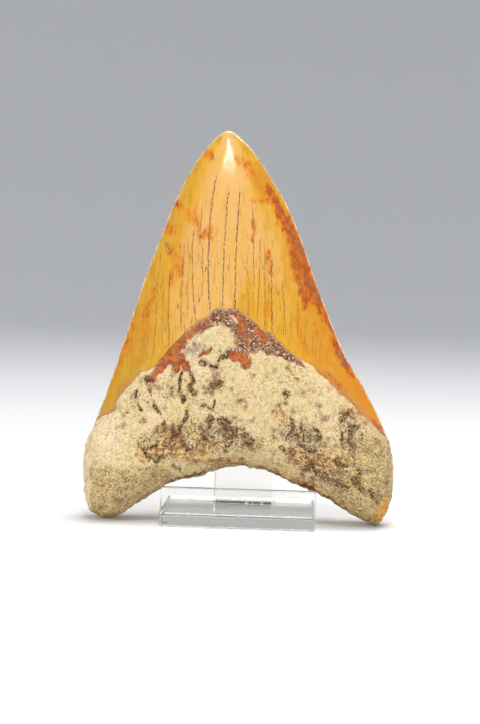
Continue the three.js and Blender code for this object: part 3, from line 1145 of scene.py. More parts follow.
def spline(points: np.ndarray, steps: int) -> np.ndarray:
    """A smooth curve through points.

    Args:
        points: what it passes through.
        steps: how many steps there are between each two.

    Returns:
        Points along the curve.
    """
    padded = np.vstack([points[0], points, points[-1]])
    t = (np.arange(steps) / steps)[:, None]
    rows = []
    for p0, p1, p2, p3 in zip(padded[:-3], padded[1:-2], padded[2:-1], padded[3:]):
        v0, v1 = (p2 - p0) / 2, (p3 - p1) / 2
        cubic = 2 * p1 - 2 * p2 + v0 + v1
        square = -3 * p1 + 3 * p2 - 2 * v0 - v1
        rows.append(cubic * t**3 + square * t**2 + v0 * t + p1)
    return np.vstack([*rows, points[-1:]])


class Side(Enum):
    """The two faces of the tooth, with the sign of their depth."""

    FRONT = 1
    BACK = -1


# ---- The tooth -----------------------------------------------------------------------------


@dataclass
class FossilTooth:
    """The tooth, as two relief sheets that meet in its outline. Sizes are in millimetres."""

    lean_deg: float = LEAN_DEG
    yaw_deg: float = 2.5
    midplane_from_front: float = 17.0
    lift: float = 0.55
    left_foot: Point = (-44.5, -0.3)
    right_foot: Point = (46.2, -0.4)
    tip: Point = (-6.8, 133.4)
    arch_apex: Point = (1.0, 18.1)
    left_side: Sequence[Point] = (
        (-48.5, 1.8), (-50.8, 5.8), (-51.6, 14), (-51.3, 24), (-47.6, 34), (-43.4, 47.5), (-38.6, 64),
        (-33.6, 81), (-29.0, 95), (-25.2, 106), (-20.2, 117.5), (-15.0, 126.2), (-10.0, 131.8),
    )
    right_side: Sequence[Point] = (
        (-3.6, 132.0), (2.0, 126.5), (7.6, 118.4), (14.2, 107.3), (19.2, 95.5), (23.9, 82.5), (28.5, 70.5),
        (33.8, 58), (38.8, 49.5), (45.2, 38), (48.8, 29.5), (51.0, 19), (51.1, 11), (49.2, 4.6),
    )
    arch_left: Sequence[Point] = (
        (-38.8, 0.4), (-33.8, 3.8), (-27.1, 8.3), (-20.6, 12.4), (-13.5, 14.3), (-7.5, 16.6),
    )
    arch_right: Sequence[Point] = ((9.5, 16.4), (18.7, 12.1), (27.3, 8.7), (36.4, 3.6), (42.0, 0.9))
    chevron: Sequence[Point] = (
        (-52, 30), (-46, 32.5), (-43, 33.2), (-41, 36), (-39.6, 39.8), (-34, 45.6), (-29, 48.6),
        (-25, 53.2), (-19, 59.8), (-13, 64.6), (-10, 67.4), (-6, 69), (-2, 68.2), (1.5, 66.2), (5, 63),
        (10, 59.6), (16, 54.8), (25, 48.8), (33, 41.6), (40, 35.2), (45, 30.2), (52, 27),
    )
    back_chevron: Sequence[Point] = (
        (-52, 29), (-44, 31), (-36, 35), (-26, 41), (-14, 46), (-3, 48.5), (8, 46.5), (20, 41.5), (32, 35),
        (44, 29), (52, 27),
    )
    half_width_at_foot: float = 54.0
    side_curve: float = 0.72
    crown_front: float = 13.5
    crown_back: float = 5.2
    crown_foot: float = 58.0
    crown_taper: float = 0.75
    crown_rounding: float = 0.8
    crown_least_width: float = 1.5
    root_front: float = 12.5
    root_back: float = 8.8
    root_swell: float = 3.2
    swell_height: float = 40.0
    swell_size: Point = (24.0, 17.0)
    root_rounding: float = 9.0
    shoulder: float = 6.0
    mark_jitter: float = 1.5
    mark_jitter_width: float = 3.2
    serration_pitch: float = 0.95
    serration_depth: float = 0.6
    sharp_deg: float = 70.0
    steps_along: int = 360
    rim_steps: int = 6
    closer_on_root: float = 1.7
    closer_by_rims: float = 3.5
    rim_reach: float = 2.0
    rows: dict[Side, int] = field(default_factory=lambda: {Side.FRONT: 160, Side.BACK: 90})
    grain: Grain = Grain(11)

    def curve(self, middle_at: int, points: Sequence[Point], steps: int) -> np.ndarray:
        """Evenly spaced points on a smooth outline, half of them on each side of its middle point.

        Args:
            middle_at: which of the points is the middle one.
            points: the outline's points.
            steps: how many steps to cut it into.

        Returns:
            steps + 1 points.
        """
        per_point = 60
        dense = spline(np.array(points, float), per_point)
        run = np.concatenate([[0.0], np.cumsum(np.linalg.norm(np.diff(dense, axis=0), axis=1))])
        middle = run[middle_at * per_point]
        half = steps // 2
        wanted = np.concatenate([
            np.linspace(0, middle, half + 1), np.linspace(middle, run[-1], steps - half + 1)[1:],
        ])
        return np.stack([np.interp(wanted, run, dense[:, k]) for k in (0, 1)], axis=1)

    def outer(self, steps: int) -> np.ndarray:
        """The outline from the left foot over the tip to the right foot."""
        points = (self.left_foot, *self.left_side, self.tip, *self.right_side, self.right_foot)
        return self.curve(len(self.left_side) + 1, points, steps)

    def arch(self, steps: int) -> np.ndarray:
        """The outline from the left foot under the arch to the right foot."""
        points = (self.left_foot, *self.arch_left, self.arch_apex, *self.arch_right, self.right_foot)
        return self.curve(len(self.arch_left) + 1, points, steps)

    def edge_distance(self, flat: np.ndarray) -> np.ndarray:
        """Distance of flat points from the outline, worked out in batches.

        Args:
            flat: places across and up.

        Returns:
            One distance per point.
        """
        ring = np.vstack([self.outer(360), self.arch(240)[-2:0:-1]])
        follow = np.roll(ring, -1, axis=0) - ring
        length = (follow**2).sum(axis=1)
        result = np.empty(len(flat))
        batch = 4000
        for start in range(0, len(flat), batch):
            gap = flat[start:start + batch, None] - ring[None]
            t = np.clip((gap * follow).sum(axis=2) / length, 0, 1)
            gap -= t[..., None] * follow
            result[start:start + batch] = np.sqrt((gap**2).sum(axis=2).min(axis=1))
        return result

    def half_width(self, up: np.ndarray, least: float = 0.0) -> np.ndarray:
        """Half the tooth's width at a height, by the curve that both its sides follow.

        Args:
            up: heights.
            least: least part of the tooth's height that a place counts as below the tip.

        Returns:
            Half widths.
        """
        down = np.clip((self.tip[1] - up) / self.tip[1], least, 1)
        return self.half_width_at_foot * down**self.side_curve

    def above_line(self, flat: np.ndarray, line: Sequence[Point]) -> np.ndarray:
        """Height of flat points above a line across the tooth."""
        dense = spline(np.array(line, float), 12)
        return flat[:, 1] - np.interp(flat[:, 0], dense[:, 0], dense[:, 1])

    def depth(self, flat: np.ndarray, edge: np.ndarray, side: Side) -> np.ndarray:
        """Plain thickness of the tooth on one side of its middle plane.

        Args:
            flat: places across and up.
            edge: their distances from the outline.
            side: which face.

        Returns:
            The thickness there.
        """
        across, up = flat.T
        taper = np.clip((self.tip[1] - up) / (self.tip[1] - self.crown_foot), 0, 1) ** self.crown_taper
        reach = self.crown_rounding * (self.half_width(up) + self.crown_least_width)
        lens = taper * (1 - (1 - np.minimum(1, edge / reach)) ** 2)
        margin = np.sqrt(1 - (1 - np.minimum(1, edge / self.root_rounding)) ** 2)
        front = side is Side.FRONT
        line = self.chevron if front else self.back_chevron
        share = smoothstep(-self.shoulder, self.shoulder, self.above_line(flat, line))
        wide, tall = self.swell_size
        swell = self.root_swell * np.exp(-((across / wide) ** 2) - ((up - self.swell_height) / tall) ** 2)
        crown = (self.crown_front if front else self.crown_back) * lens
        root = (self.root_front + swell if front else self.root_back) * margin
        return root * (1 - share) + crown * share

    def warped(self, flat: np.ndarray, side: Side) -> tuple[np.ndarray, np.ndarray, np.ndarray]:
        """Places for looking up marks, jittered so that no mark has a drawn edge.

        Args:
            flat: places across and up.
            side: which face; the back looks its marks up mirrored and further astray.

        Returns:
            Jittered places across and up, and the solid places that noise is read at.
        """
        solid = np.column_stack([flat, np.full(len(flat), 0.0 if side is Side.FRONT else 60.0)])
        width, reach = self.mark_jitter_width, self.mark_jitter
        sway = [self.grain.layered(solid + shift, width, 4, 0.62) * reach for shift in (13, 57)]
        if side is Side.FRONT:
            return flat[:, 0] + sway[0], flat[:, 1] + sway[1], solid
        drift = self.grain.layered(solid, 14.0, 2) * 5
        return -flat[:, 0] * 0.93 + drift + sway[0], flat[:, 1] + 4 + drift + sway[1], solid

    def marks(self, flat: np.ndarray, edge: np.ndarray, side: Side) -> dict[str, np.ndarray]:
        """Where each kind of mark lies.

        Args:
            flat: places across and up.
            edge: their distances from the outline.
            side: which face. The back has the same kinds of mark in a looser arrangement.

        Returns:
            One value per point for each mark's name.
        """
        front = side is Side.FRONT
        across, up, solid = self.warped(flat, side)
        grain = self.grain
        ripple = grain.layered(solid, 3.0, 4) * (1.3 if front else 1.8)
        height = self.above_line(flat, self.chevron if front else self.back_chevron) + ripple
        crown = smoothstep(-0.8, 0.8, height)
        ragged = grain.layered(solid + 40, 2.2, 3)
        red = covered(RED, across, up)
        bare = covered(BARE, across, up)
        if front:
            beside_peak = smoothstep(-19, -15, flat[:, 0]) * smoothstep(19, 15, flat[:, 0])
            bare = np.maximum(bare, smoothstep(-2.6, -1.4, height) * beside_peak * 1.2 - 0.2)
        else:
            bare = smoothstep(-4.0, -0.5, height) * 1.4 - 0.9
            red = bare - 0.45
        dark = np.clip(covered(CREVICES, across, up) + 0.3 * ragged, -1.2, 0.55)
        speckled = np.clip(covered(SPECKLED, across, up) + 0.3 * ragged, -1, 0.6)
        bared = np.maximum(bare + ragged * 0.7, red + ragged * 0.5)
        return {
            "crown": crown,
            "rust": covered(RUST, across, up) * (1.0 if front else 0.8),
            "mauve": covered(MAUVE, across, up),
            "gilt_and_painted_light": self.gilt_and_painted_light(flat),
            "red": np.clip(red + ragged * 0.5, -1, 1),
            "bare": smoothstep(-0.1, 0.4, bared) * (1 - crown),
            "dark": dark if front else dark - 0.25,
            "speckled": speckled,
            "lobes": np.clip(covered(TAN_LOBES, across, up) * 2, -1, 1.2),
            "lip": self.arch_rim_stain_and_shade(across, up, edge, front),
            "edge": np.where(flat[:, 1] > 30, edge, 9.0),
            **{name: np.clip(covered(kind, across, up), -1, 1) for name, kind in PLAIN_MARKS.items()},
        }

    def arch_rim_stain_and_shade(self, across: np.ndarray, up: np.ndarray, edge: np.ndarray, front: bool) -> np.ndarray:
        """Where the arch's edge is darkened: painted shade along its whole rim, and a few wider stain
        streaks on the front.

        Args:
            across: places across.
            up: places up.
            edge: their distances from the outline.
            front: whether this is the front.

        Returns:
            The stain's cover.
        """
        under = smoothstep(38, 32, np.abs(across)) * smoothstep(22, 18, up)
        rim = under * (1.3 - edge / 0.8) - 1
        return np.clip(np.maximum(rim, covered(ARCH_LIP, across, up)) if front else rim, -2, 1)

    def gilt_and_painted_light(self, flat: np.ndarray) -> np.ndarray:
        """How golden the enamel is: least along the middle, as painted sheen; most by the edges and low on
        the left, as painted shade; also low on the right.

        Args:
            flat: places across and up.

        Returns:
            Values from 0 to 1.4.
        """
        across, up = flat.T
        middle = self.tip[0] + 4.0 * smoothstep(120, 60, up)
        gilt_and_painted_light = smoothstep(0.3, 1.0, np.abs(across - middle) / self.half_width(up, 0.02))
        gilt_and_painted_light += 0.55 * smoothstep(82, 64, up) * smoothstep(-10, 0, across)
        gilt_and_painted_light += 0.5 * smoothstep(10, 3, np.hypot(across - 5, (up - 74) / 1.3))
        gilt_and_painted_light += 0.7 * smoothstep(6, 0, np.hypot((across - 5) / 1.1, (up - 114) / 1.6))
        return np.clip(gilt_and_painted_light + 0.35 * smoothstep(72, 45, up) * smoothstep(-16, -26, across), 0, 1.4)

    def relief(self, solid: np.ndarray, marks: dict[str, np.ndarray], edge: np.ndarray) -> np.ndarray:
        """How far the surface stands proud of the plain form.

        Args:
            solid: places across, up and out.
            marks: the marks there.
            edge: distances from the outline.

        Returns:
            Heights in millimetres, and the hollows' depth under "hollow" in marks.
        """
        grain = self.grain
        crown = marks["crown"]
        lobes = smoothstep(-0.2, 0.6, marks["lobes"])
        lumps = 0.8 * grain.layered(solid, 12.0, 3)
        crust = 1.25 * (grain.billows(solid, 4.6, 3) - 0.34) * (1 - 0.6 * lobes)
        grit = 0.3 * grain.layered(solid, 1.7, 2, 0.7)
        pits = grain.pits(solid, 3.2, 0.34, 0.45) * 0.7 + grain.pits(solid + 31, 1.7, 0.4, 0.4) * 0.4
        across, up = solid[:, 0], solid[:, 1]
        ledge_share = smoothstep(24, 19, up) * smoothstep(8, -4, across) * smoothstep(-38, -28, across)
        ledges = 0.5 * grain.layered(solid * np.array([0.16, 1.0, 0.4]), 1.9, 2) * ledge_share
        dark = smoothstep(0.1, 1.0, marks["dark"] + 0.9 * grain.layered(solid + 23, 1.5, 2, 0.8))
        bare = marks["bare"]
        rubble = 0.35 * (grain.billows(solid + 9, 2.4, 2) - 0.4)
        crusted = lumps + crust + grit - pits + ledges
        bared = 0.5 * lumps - 0.75 + rubble
        root = crusted * (1 - bare) + bared * bare - 1.0 * dark - 0.5 * np.clip(marks["lip"] + 0.4, 0, 1)
        enamel = 0.12 * grain.layered(solid * np.array([1.0, 0.25, 1.0]), 9.0, 2) * smoothstep(0.5, 5, edge)
        marks["hollow"] = np.clip(pits * 0.5 + np.clip(-crust, 0, 1) * 1.4 + dark * 0.4, 0, 1) * (1 - crown)
        return root * (1 - crown) + enamel * crown

    def place(self, solid: np.ndarray) -> np.ndarray:
        """Moves points from the tooth's own millimetres to where it leans.

        Args:
            solid: places across, up and out, in millimetres.

        Returns:
            Places in metres.
        """
        pivot = stand_front() + Vector((0, self.midplane_from_front, self.lift)) * MM
        turn = Matrix.Rotation(math.radians(self.yaw_deg), 3, "Z")
        tilt = Matrix.Rotation(math.radians(90 - self.lean_deg), 3, "X")
        return solid * MM @ np.array(turn @ tilt).T + np.array(pivot)

    def sheet(self, side: Side) -> np.ndarray:
        """Flat grid of one face without its edges, its rows closest on the root and by the rims.

        Args:
            side: which face.

        Returns:
            Flat points by step along the outline and row.
        """
        rows = self.rows[side]
        arch, outer = self.arch(self.steps_along)[1:-1], self.outer(self.steps_along)[1:-1]
        last = outer + self.inward(outer) * (0.25 + 0.75 * self.cutting_edge(outer))[:, None]
        trial_rows = 240
        share = np.linspace(0, 1, trial_rows)
        places = arch[:, None] + (last - arch)[:, None] * share[None, :, None]
        line = self.chevron if side is Side.FRONT else self.back_chevron
        above = self.above_line(places.reshape(-1, 2), line).reshape(len(arch), -1)
        from_rim = np.minimum(share, 1 - share) * np.linalg.norm(last - arch, axis=1)[:, None]
        need = 1 + self.closer_on_root * smoothstep(5, -3, above)
        need += self.closer_by_rims * np.exp(-from_rim / self.rim_reach)
        run = np.cumsum(need, axis=1)
        run = (run - run[:, :1]) / (run[:, -1:] - run[:, :1])
        wanted = np.arange(1, rows) / (rows - 1)
        taken = np.stack([np.interp(wanted, column, share) for column in run])
        return arch[:, None] + (last - arch)[:, None] * taken[..., None]

    def inward(self, rim: np.ndarray) -> np.ndarray:
        """Directions from the outer edge into the tooth.

        Args:
            rim: flat points along the edge.

        Returns:
            One flat direction per point.
        """
        along = np.gradient(rim, axis=0)
        along /= np.linalg.norm(along, axis=1)[:, None]
        return np.column_stack([along[:, 1], -along[:, 0]])

    def cutting_edge(self, rim: np.ndarray) -> np.ndarray:
        """Where the outer edge is one of the crown's cutting edges.

        Args:
            rim: flat points along the edge.

        Returns:
            1 on a cutting edge, 0 on the root and at the very tip.
        """
        above = np.minimum(self.above_line(rim, self.chevron), self.above_line(rim, self.back_chevron))
        from_tip = np.linalg.norm(rim - np.array(self.tip), axis=1)
        return smoothstep(-1.0, 3.0, above) * smoothstep(0.5, 3.0, from_tip)

    def serrated(self, rim: np.ndarray) -> np.ndarray:
        """Cuts the fine saw teeth of the crown's edges into the outer rim.

        Args:
            rim: flat points along the edge.

        Returns:
            The points with the notches cut.
        """
        run = np.concatenate([[0.0], np.cumsum(np.linalg.norm(np.diff(rim, axis=0), axis=1))])
        solid = np.column_stack([rim, np.zeros(len(rim))])
        uneven = 0.75 + 0.5 * self.grain.smooth(solid / 4.0)
        phase = run / self.serration_pitch + 0.2 * self.grain.smooth(solid / 9.0)
        notch = (0.5 + 0.5 * np.cos(2 * math.pi * phase)) * uneven * self.cutting_edge(rim)
        return rim + self.inward(rim) * (self.serration_depth * notch)[:, None]

    def build(self) -> bpy.types.Object:
        """Builds the tooth's mesh with its marks stored on it.

        Returns:
            The tooth.
        """
        fine_rim = self.serrated(self.outer(self.steps_along * self.rim_steps))[1:-1]
        arch_rim = self.arch(self.steps_along)[1:-1]
        rims = np.vstack([[self.left_foot, self.right_foot], arch_rim, fine_rim])
        named = self.marks(rims, np.zeros(len(rims)), Side.FRONT)
        solid = np.column_stack([rims, np.zeros(len(rims))])
        height = self.relief(solid, named, np.zeros(len(rims)))
        parts = [(solid + self.rim_normals(arch_rim, fine_rim) * height[:, None], named)]
        for side in Side:
            grid = self.sheet(side)
            flat = grid.reshape(-1, 2)
            edge = self.edge_distance(flat)
            out = self.depth(flat, edge, side) * side.value
            named = self.marks(flat, edge, side)
            solid = np.column_stack([flat, out])
            height = self.relief(solid, named, edge)
            parts.append((solid + self.sheet_normals(grid, out, side) * height[:, None], named))
        solid = np.vstack([places for places, _ in parts])
        piece = mesh_object("tooth_fossil", self.inside_cad(self.place(solid)), self.faces(len(rims)))
        for name in named:
            layer = piece.data.attributes.new(name, "FLOAT", "POINT")
            values = np.concatenate([marks[name] for _, marks in parts])
            layer.data.foreach_set("value", values.astype(np.float32))
        layer = piece.data.attributes.new("tooth_mm", "FLOAT_VECTOR", "POINT")
        layer.data.foreach_set("vector", solid.astype(np.float32).ravel())
        piece.data.set_sharp_from_angle(angle=math.radians(self.sharp_deg))
        return piece

    def rim_normals(self, arch: np.ndarray, outer: np.ndarray) -> np.ndarray:
        """Outward directions, in the middle plane, of the feet and the two rims.

        Args:
            arch: flat points along the arch.
            outer: flat points along the serrated outer rim.

        Returns:
            One direction per point, the two feet first.
        """
        parts = [np.tile([0.0, -1.0, 0.0], (2, 1))]
        smoothing = range(-4, 5)
        for line, turn in ((arch, 1.0), (outer, -1.0)):
            along = np.gradient(line, axis=0)
            if line is outer:
                along = sum(np.roll(along, k, axis=0) for k in smoothing)
            along /= np.linalg.norm(along, axis=1)[:, None]
            parts.append(np.column_stack([along[:, 1] * turn, -along[:, 0] * turn, np.zeros(len(line))]))
        return np.vstack(parts)

    def sheet_normals(self, grid: np.ndarray, out: np.ndarray, side: Side) -> np.ndarray:
        """Outward directions of one face's plain form.

        Args:
            grid: flat points by step and row.
            out: their depths with their signs.
            side: which face.

        Returns:
            One direction per point.
        """
        solid = np.concatenate([grid, out.reshape(*grid.shape[:2], 1)], axis=2)
        normal = np.cross(np.gradient(solid, axis=0), np.gradient(solid, axis=1)) * side.value
        normal /= np.maximum(np.linalg.norm(normal, axis=2, keepdims=True), 1e-9)
        return normal.reshape(-1, 3)

    def inside_cad(self, points: np.ndarray) -> np.ndarray:
        """Keeps points inside the box of the CAD tooth."""
        low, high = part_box("tooth")
        return np.clip(points, np.array(low), np.array(high))

    def faces(self, rim_count: int) -> list[tuple[int, int, int]]:
        """Stitches both sheets to the rims.

        Args:
            rim_count: how many rim points come before the sheets' points.

        Returns:
            Triangles with their faces outward.
        """
        steps, fine = self.steps_along, self.rim_steps
        arch_at = 2
        outer_at = arch_at + steps - 1
        triangles: list[tuple[int, int, int]] = []

        def arch_point(i: int) -> int:
            """Number of a point on the arch's rim."""
            return 0 if i == 0 else 1 if i == steps else arch_at + i - 1

        def outer_point(k: int) -> int:
            """Number of a point on the fine outer rim."""
            return 0 if k == 0 else 1 if k == steps * fine else outer_at + k - 1

        start = rim_count
        for side in Side:
            rows = self.rows[side] - 1

            def sheet_point(i: int, j: int, start: int = start, rows: int = rows) -> int:
                """Number of a point inside the sheet; both ends run into the feet."""
                return 0 if i == 0 else 1 if i == steps else start + (i - 1) * rows + j

            def add(a: int, b: int, c: int, side: Side = side) -> None:
                """Keeps a triangle that has three corners."""
                if a != b and b != c and c != a:
                    triangles.append((a, b, c) if side is Side.FRONT else (a, c, b))

            for i in range(steps):
                add(arch_point(i), arch_point(i + 1), sheet_point(i + 1, 0))
                add(arch_point(i), sheet_point(i + 1, 0), sheet_point(i, 0))
                for j in range(rows - 1):
                    add(sheet_point(i, j), sheet_point(i + 1, j), sheet_point(i + 1, j + 1))
                    add(sheet_point(i, j), sheet_point(i + 1, j + 1), sheet_point(i, j + 1))
                last, half = rows - 1, fine // 2
                for k in range(fine):
                    inner = sheet_point(i, last) if k < half else sheet_point(i + 1, last)
                    add(inner, outer_point(i * fine + k + 1), outer_point(i * fine + k))
                add(sheet_point(i, last), sheet_point(i + 1, last), outer_point(i * fine + half))
            start += (steps - 1) * rows
        return triangles

    def dress(self, piece: bpy.types.Object) -> None:
        """Gives the tooth its finish and its place on the frame."""
        piece.data.materials.append(FossilFinish().make())
        finish_piece(piece, "tooth", "tooth")


# ---- The stand -----------------------------------------------------------------------------


@dataclass
class AcrylicStand:
    """Three clear plates and the cement between them. Sizes are in metres."""

    edge_bevel: float = 0.35 * MM
    bevel_segments: int = 3
    corner_steps: int = 8
    corner_radius: float = 1.2 * MM
    lip_corner_radius: float = 1.0 * MM
    rest_top_radius: float = 6.0 * MM
    lean_deg: float = LEAN_DEG
    rest_thickness: float = 4.0 * MM
    air_under_base: float = 0.04 * MM
    cement_step: float = 0.35 * MM
    cement_run_out: float = 0.5 * MM
    bead_depth: float = 0.35 * MM
    bead_height: float = 0.6 * MM
    film_side_gap: float = 1.0 * MM
    film_low_gap: float = 0.6 * MM
    film_top_gap: float = 0.5 * MM
    cement_clearance: float = 0.01 * MM

    def plate(self, name: str, outline: Sequence[Vector], thickness: Vector) -> bpy.types.Object:
        """A plate from its outline, pushed along its thickness, with softened edges.

        Args:
            name: the piece's name.
            outline: corners of one face, in order.
            thickness: from that face to the other.

        Returns:
            The piece.
        """
        count = len(outline)
        points = np.array([*outline, *(corner + thickness for corner in outline)])
        faces = [tuple(range(count))[::-1], tuple(range(count, 2 * count))]
        faces += [(i, (i + 1) % count, count + (i + 1) % count, count + i) for i in range(count)]
        piece = mesh_object(name, points, faces)
        bpy.context.view_layer.objects.active = piece
        bevel = piece.modifiers.new("edges", "BEVEL")
        bevel.width = self.edge_bevel
        bevel.segments = self.bevel_segments
        bevel.limit_method = "ANGLE"
        bevel.angle_limit = math.radians(50)
        bevel.harden_normals = True
        bpy.ops.object.modifier_apply(modifier=bevel.name)
        return piece

    def rounded(self, size: Point, radii: Sequence[float]) -> list[Point]:
        """Corners of a rectangle from 0, 0 with its own radius at each corner.

        Args:
            size: width and height.
            radii: radius of the low left, low right, high right and high left corners.

        Returns:
            The points of the outline.
        """
        width, height = size
        points: list[Point] = []
        for corner, radius in enumerate(radii):
            x = radius if corner in (0, 3) else width - radius
            y = radius if corner in (0, 1) else height - radius
            steps = self.corner_steps if radius > 0 else 1
            for step in range(steps + 1 if radius > 0 else 1):
                angle = math.radians(180 + 90 * (corner + step / steps))
                points.append((x + radius * math.cos(angle), y + radius * math.sin(angle)))
        return points

    def build(self) -> list[tuple[bpy.types.Object, str]]:
        """Builds the three plates to the CAD plates' boxes.

        Returns:
            Each piece with the node that it stands for.
        """
        low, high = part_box("stand_base")
        flat = self.rounded((high.x - low.x, high.y - low.y), [self.corner_radius] * 4)
        level = low.z + self.air_under_base
        base = self.plate(
            "stand_base_plate",
            [Vector((low.x + x, low.y + y, level)) for x, y in flat],
            Vector((0, 0, high.z - level)),
        )
        low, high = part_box("stand_lip")
        upright = self.rounded((high.x - low.x, high.z - low.z), [self.lip_corner_radius] * 4)
        lip = self.plate(
            "stand_lip_plate",
            [Vector((low.x + x, high.y, low.z + z)) for x, z in upright],
            Vector((0, low.y - high.y, 0)),
        )
        return [(base, "stand_base"), (lip, "stand_lip"), (self.back_rest(), "stand_back_rest")]

    def build_cement(self) -> list[tuple[bpy.types.Object, CementFinish]]:
        """Builds the dried cement: under the back rest, a bead before its foot, and behind the lip.

        Returns:
            Each piece with its finish.
        """
        rest, base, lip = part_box("stand_back_rest"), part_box("stand_base"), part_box("stand_lip")
        level = base[1].z
        deep = self.rest_thickness / math.cos(math.radians(self.lean_deg))
        under_rest = self.film(
            "stand_cement_under_rest",
            Vector((rest[0].x, rest[0].y, level)),
            Vector((rest[1].x, rest[0].y + deep, rest[0].z)),
            self.cement_run_out,
        )
        behind_lip = self.film(
            "stand_cement_behind_lip",
            Vector((base[0].x + self.film_side_gap, lip[1].y, base[0].z + self.film_low_gap)),
            Vector((base[1].x - self.film_side_gap, base[0].y, level - self.film_top_gap)),
            -self.cement_run_out,
        )
        bead = self.film(
            "stand_cement_bead",
            Vector((rest[0].x, rest[0].y - self.bead_depth, level)),
            Vector((rest[1].x, rest[0].y - self.cement_clearance, level + self.bead_height)),
            -self.bead_height / 4,
        )
        return [
            (under_rest, CementFinish("cement film", 0.66)),
            (bead, CementFinish("acrylic cement", 0.6, 620.0)),
            (behind_lip, CementFinish("clear cement", 0.27)),
        ]

    def film(self, name: str, low: Vector, high: Vector, run_out: float) -> bpy.types.Object:
        """A thin film or bead, its two long edges ragged.

        Args:
            name: the piece's name.
            low: lowest corner of the gap.
            high: highest corner of the gap.
            run_out: about how far the ragged edges reach past the corners; below 0, fall short of them.

        Returns:
            The piece.
        """
        size = high - low
        flat = size.z < size.y
        thin, wide = (size.z, size.y) if flat else (size.y, size.z)
        steps = round(size.x / self.cement_step)
        along = np.linspace(low.x, high.x, steps + 1)
        wave = self.cement_step * 1.6
        places = np.column_stack([along / wave, np.zeros(steps + 1), np.full(steps + 1, low.z)])
        grain = Grain(5)
        reach = [run_out * (0.5 + 0.8 * grain.layered(places + k * 7.7, 1.0, 2)) for k in (0, 1)]
        skin = self.cement_clearance
        points = []
        for across in (-reach[0], wide + reach[1]):
            for level in (skin, thin - skin):
                depths, heights = (across, level) if flat else (level, across)
                points.append(np.column_stack(np.broadcast_arrays(along, low.y + depths, low.z + heights)))
        faces: list[tuple[int, ...]] = []
        count = steps + 1
        loop = (0, 1, 3, 2)
        for i in range(steps):
            for a, b in zip(loop, loop[1:] + loop[:1]):
                faces.append((a * count + i, b * count + i, b * count + i + 1, a * count + i + 1))
        faces += [tuple(a * count for a in loop[::-1]), tuple(a * count + steps for a in loop)]
        return mesh_object(name, np.vstack(points), faces)

    def back_rest(self) -> bpy.types.Object:
        """The leaning plate, its foot cut level.

        Returns:
            The piece.
        """
        low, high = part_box("stand_back_rest")
        lean = math.radians(self.lean_deg)
        up_plate = Vector((0, math.sin(lean), math.cos(lean)))
        back = Vector((0, math.cos(lean), -math.sin(lean))) * self.rest_thickness
        length = (high.z - low.z - self.rest_thickness * math.sin(lean)) / math.cos(lean)
        length += self.rest_thickness * math.tan(lean)
        radius = self.rest_top_radius
        face = self.rounded((high.x - low.x, length), [0, 0, radius, radius])
        outline = [low + back + Vector((x, 0, 0)) + up_plate * y for x, y in face]
        piece = self.plate("stand_back_rest_plate", outline, -back)
        for corner in piece.data.vertices:
            corner.co = Vector((corner.co.x, corner.co.y, max(corner.co.z, low.z)))
        return piece

    def dress(
        self,
        plates: list[tuple[bpy.types.Object, str]],
        cement: list[tuple[bpy.types.Object, CementFinish]],
    ) -> None:
        """Gives the plates and the cement their finish and their places on the frame.

        Args:
            plates: each plate with the node that it stands for.
            cement: each piece of cement with its finish.
        """
        clear = AcrylicFinish().make()
        for piece, node in plates:
            piece.data.materials.append(clear)
            finish_piece(piece, "clear_acrylic", node)
        for piece, finish in cement:
            piece.data.materials.append(finish.make())
            finish_piece(piece, "clear_acrylic")


# ---- The studio ----------------------------------------------------------------------------


@dataclass(frozen=True)
class Softbox:
    """A lamp aimed at the object. Angles are round from the front and up, in degrees; sizes are in metres.

    A lamp that isn't mirrored gives soft light without a bright patch in glossy surfaces.
    """

    name: str
    round_deg: float
    up_deg: float
    distance: float
    wide: float
    tall: float
    power: float
    mirrored: bool = True

    def build(self, target: Vector) -> None:
        """Hangs the lamp.

        Args:
            target: what it is aimed at.
        """
        lamp = bpy.data.lights.new(self.name, "AREA")
        lamp.shape = "RECTANGLE"
        lamp.size = self.wide
        lamp.size_y = self.tall
        lamp.energy = self.power
        round_, up = math.radians(self.round_deg), math.radians(self.up_deg)
        away = Vector((math.sin(round_) * math.cos(up), -math.cos(round_) * math.cos(up), math.sin(up)))
        made = bpy.data.objects.new(self.name, lamp)
        made.location = target + away * self.distance
        made.visible_glossy = self.mirrored
        made.rotation_euler = away.to_track_quat("Z", "Y").to_euler()
        bpy.context.scene.collection.objects.link(made)


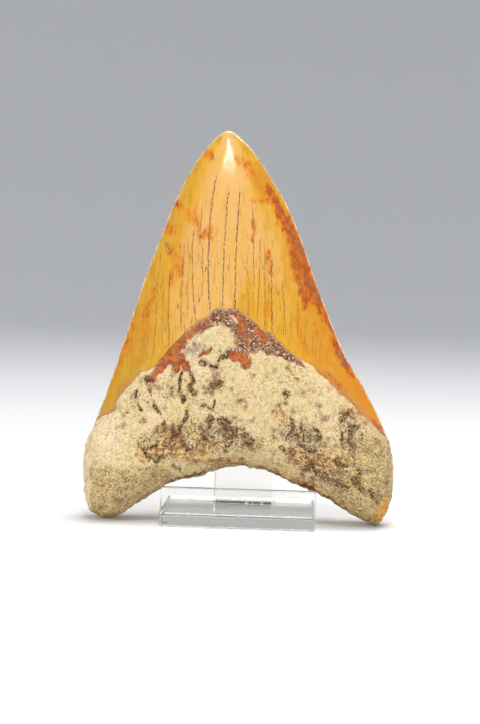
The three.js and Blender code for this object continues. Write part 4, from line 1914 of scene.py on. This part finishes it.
@dataclass(frozen=True)
class Studio:
    """A pale floor that rises into a far round wall, soft lamps and the camera. Sizes are in metres."""

    flat_radius: float = 1.3
    wall_height: float = 1.8
    floor_turns: int = 96
    wall_steps: int = 24
    sky: Colour = (0.80, 0.83, 0.88)
    sky_strength: float = 0.5
    lamps: Sequence[Softbox] = (
        Softbox("overhead", 140, 76, 0.85, 0.5, 0.5, 5.2),
        Softbox("low front", 8, 7, 1.2, 1.1, 0.25, 7.0, mirrored=False),
        Softbox("top front", 2.5, 64, 1.1, 0.13, 0.26, 2.4),
        Softbox("left side", -66, 22, 1.0, 0.35, 0.5, 2.4, mirrored=False),
        Softbox("right side", 78, 26, 1.1, 0.35, 0.5, 1.2, mirrored=False),
    )
    eye_mm: Triple = (26.3, -588.2, 92.8)
    turn_deg: float = 2.55
    down_deg: float = 3.77
    roll_deg: float = 1.585
    lens: float = 92.0

    def build(self) -> None:
        """Builds everything that isn't the object."""
        bpy.context.scene.view_settings.view_transform = "Standard"
        self.floor()
        self.world()
        low, high = (Vector(corner) for corner in CAD_BOX)
        for lamp in self.lamps:
            lamp.build((low + high) / 2)
        self.camera()

    def floor(self) -> None:
        """Turns the floor's profile, flat and then a quarter circle, round the object."""
        bends = np.linspace(0, math.pi / 2, self.wall_steps + 1)
        tall = self.wall_height
        profile = [(0.02, 0.0), (0.5, 0.0)]
        profile += [(self.flat_radius + tall * math.sin(a), tall * (1 - math.cos(a))) for a in bends]
        turns = self.floor_turns
        angles = np.linspace(0, 2 * math.pi, turns, endpoint=False)
        points = [(r * math.cos(a), r * math.sin(a), z) for r, z in profile for a in angles]
        faces: list[tuple[int, ...]] = [tuple(range(turns))]
        for ring in range(len(profile) - 1):
            for turn in range(turns):
                here, there = ring * turns + turn, ring * turns + (turn + 1) % turns
                faces.append((here, here + turns, there + turns, there))
        sweep = mesh_object("floor", np.array(points), faces)
        sweep.data.materials.append(FloorFinish().make())

    def world(self) -> None:
        """Even light from all round."""
        world = bpy.data.worlds.new("studio")
        world.use_nodes = True
        background = world.node_tree.nodes["Background"]
        background.inputs["Color"].default_value = (*self.sky, 1.0)
        background.inputs["Strength"].default_value = self.sky_strength
        bpy.context.scene.world = world

    def camera(self) -> None:
        """The camera, placed from the middle of the stand's front edge."""
        eye = stand_front() + Vector(self.eye_mm) * MM
        turn, down, roll = (math.radians(a) for a in (self.turn_deg, self.down_deg, self.roll_deg))
        ahead = Vector((-math.sin(turn) * math.cos(down), math.cos(turn) * math.cos(down), -math.sin(down)))
        right = Vector((math.cos(turn), math.sin(turn), 0))
        up = right.cross(ahead)
        rolled_right = right * math.cos(roll) + up * math.sin(roll)
        rolled_up = up * math.cos(roll) - right * math.sin(roll)
        turned = Matrix((rolled_right, rolled_up, -ahead)).transposed().to_4x4()
        data = bpy.data.cameras.new("camera")
        data.sensor_fit = "VERTICAL"
        data.sensor_height = 36.0
        data.lens = self.lens
        data.clip_start = 0.01
        made = bpy.data.objects.new("camera", data)
        made.matrix_world = Matrix.Translation(eye) @ turned
        bpy.context.scene.collection.objects.link(made)
        bpy.context.scene.camera = made


def main() -> None:
    """Builds the studio, the tooth and the stand."""
    logging.basicConfig(level=logging.INFO, format="%(name)s %(message)s")
    Studio().build()
    tooth = FossilTooth()
    tooth.dress(tooth.build())
    stand = AcrylicStand()
    stand.dress(stand.build(), stand.build_cement())


if __name__ == "__main__":
    main()
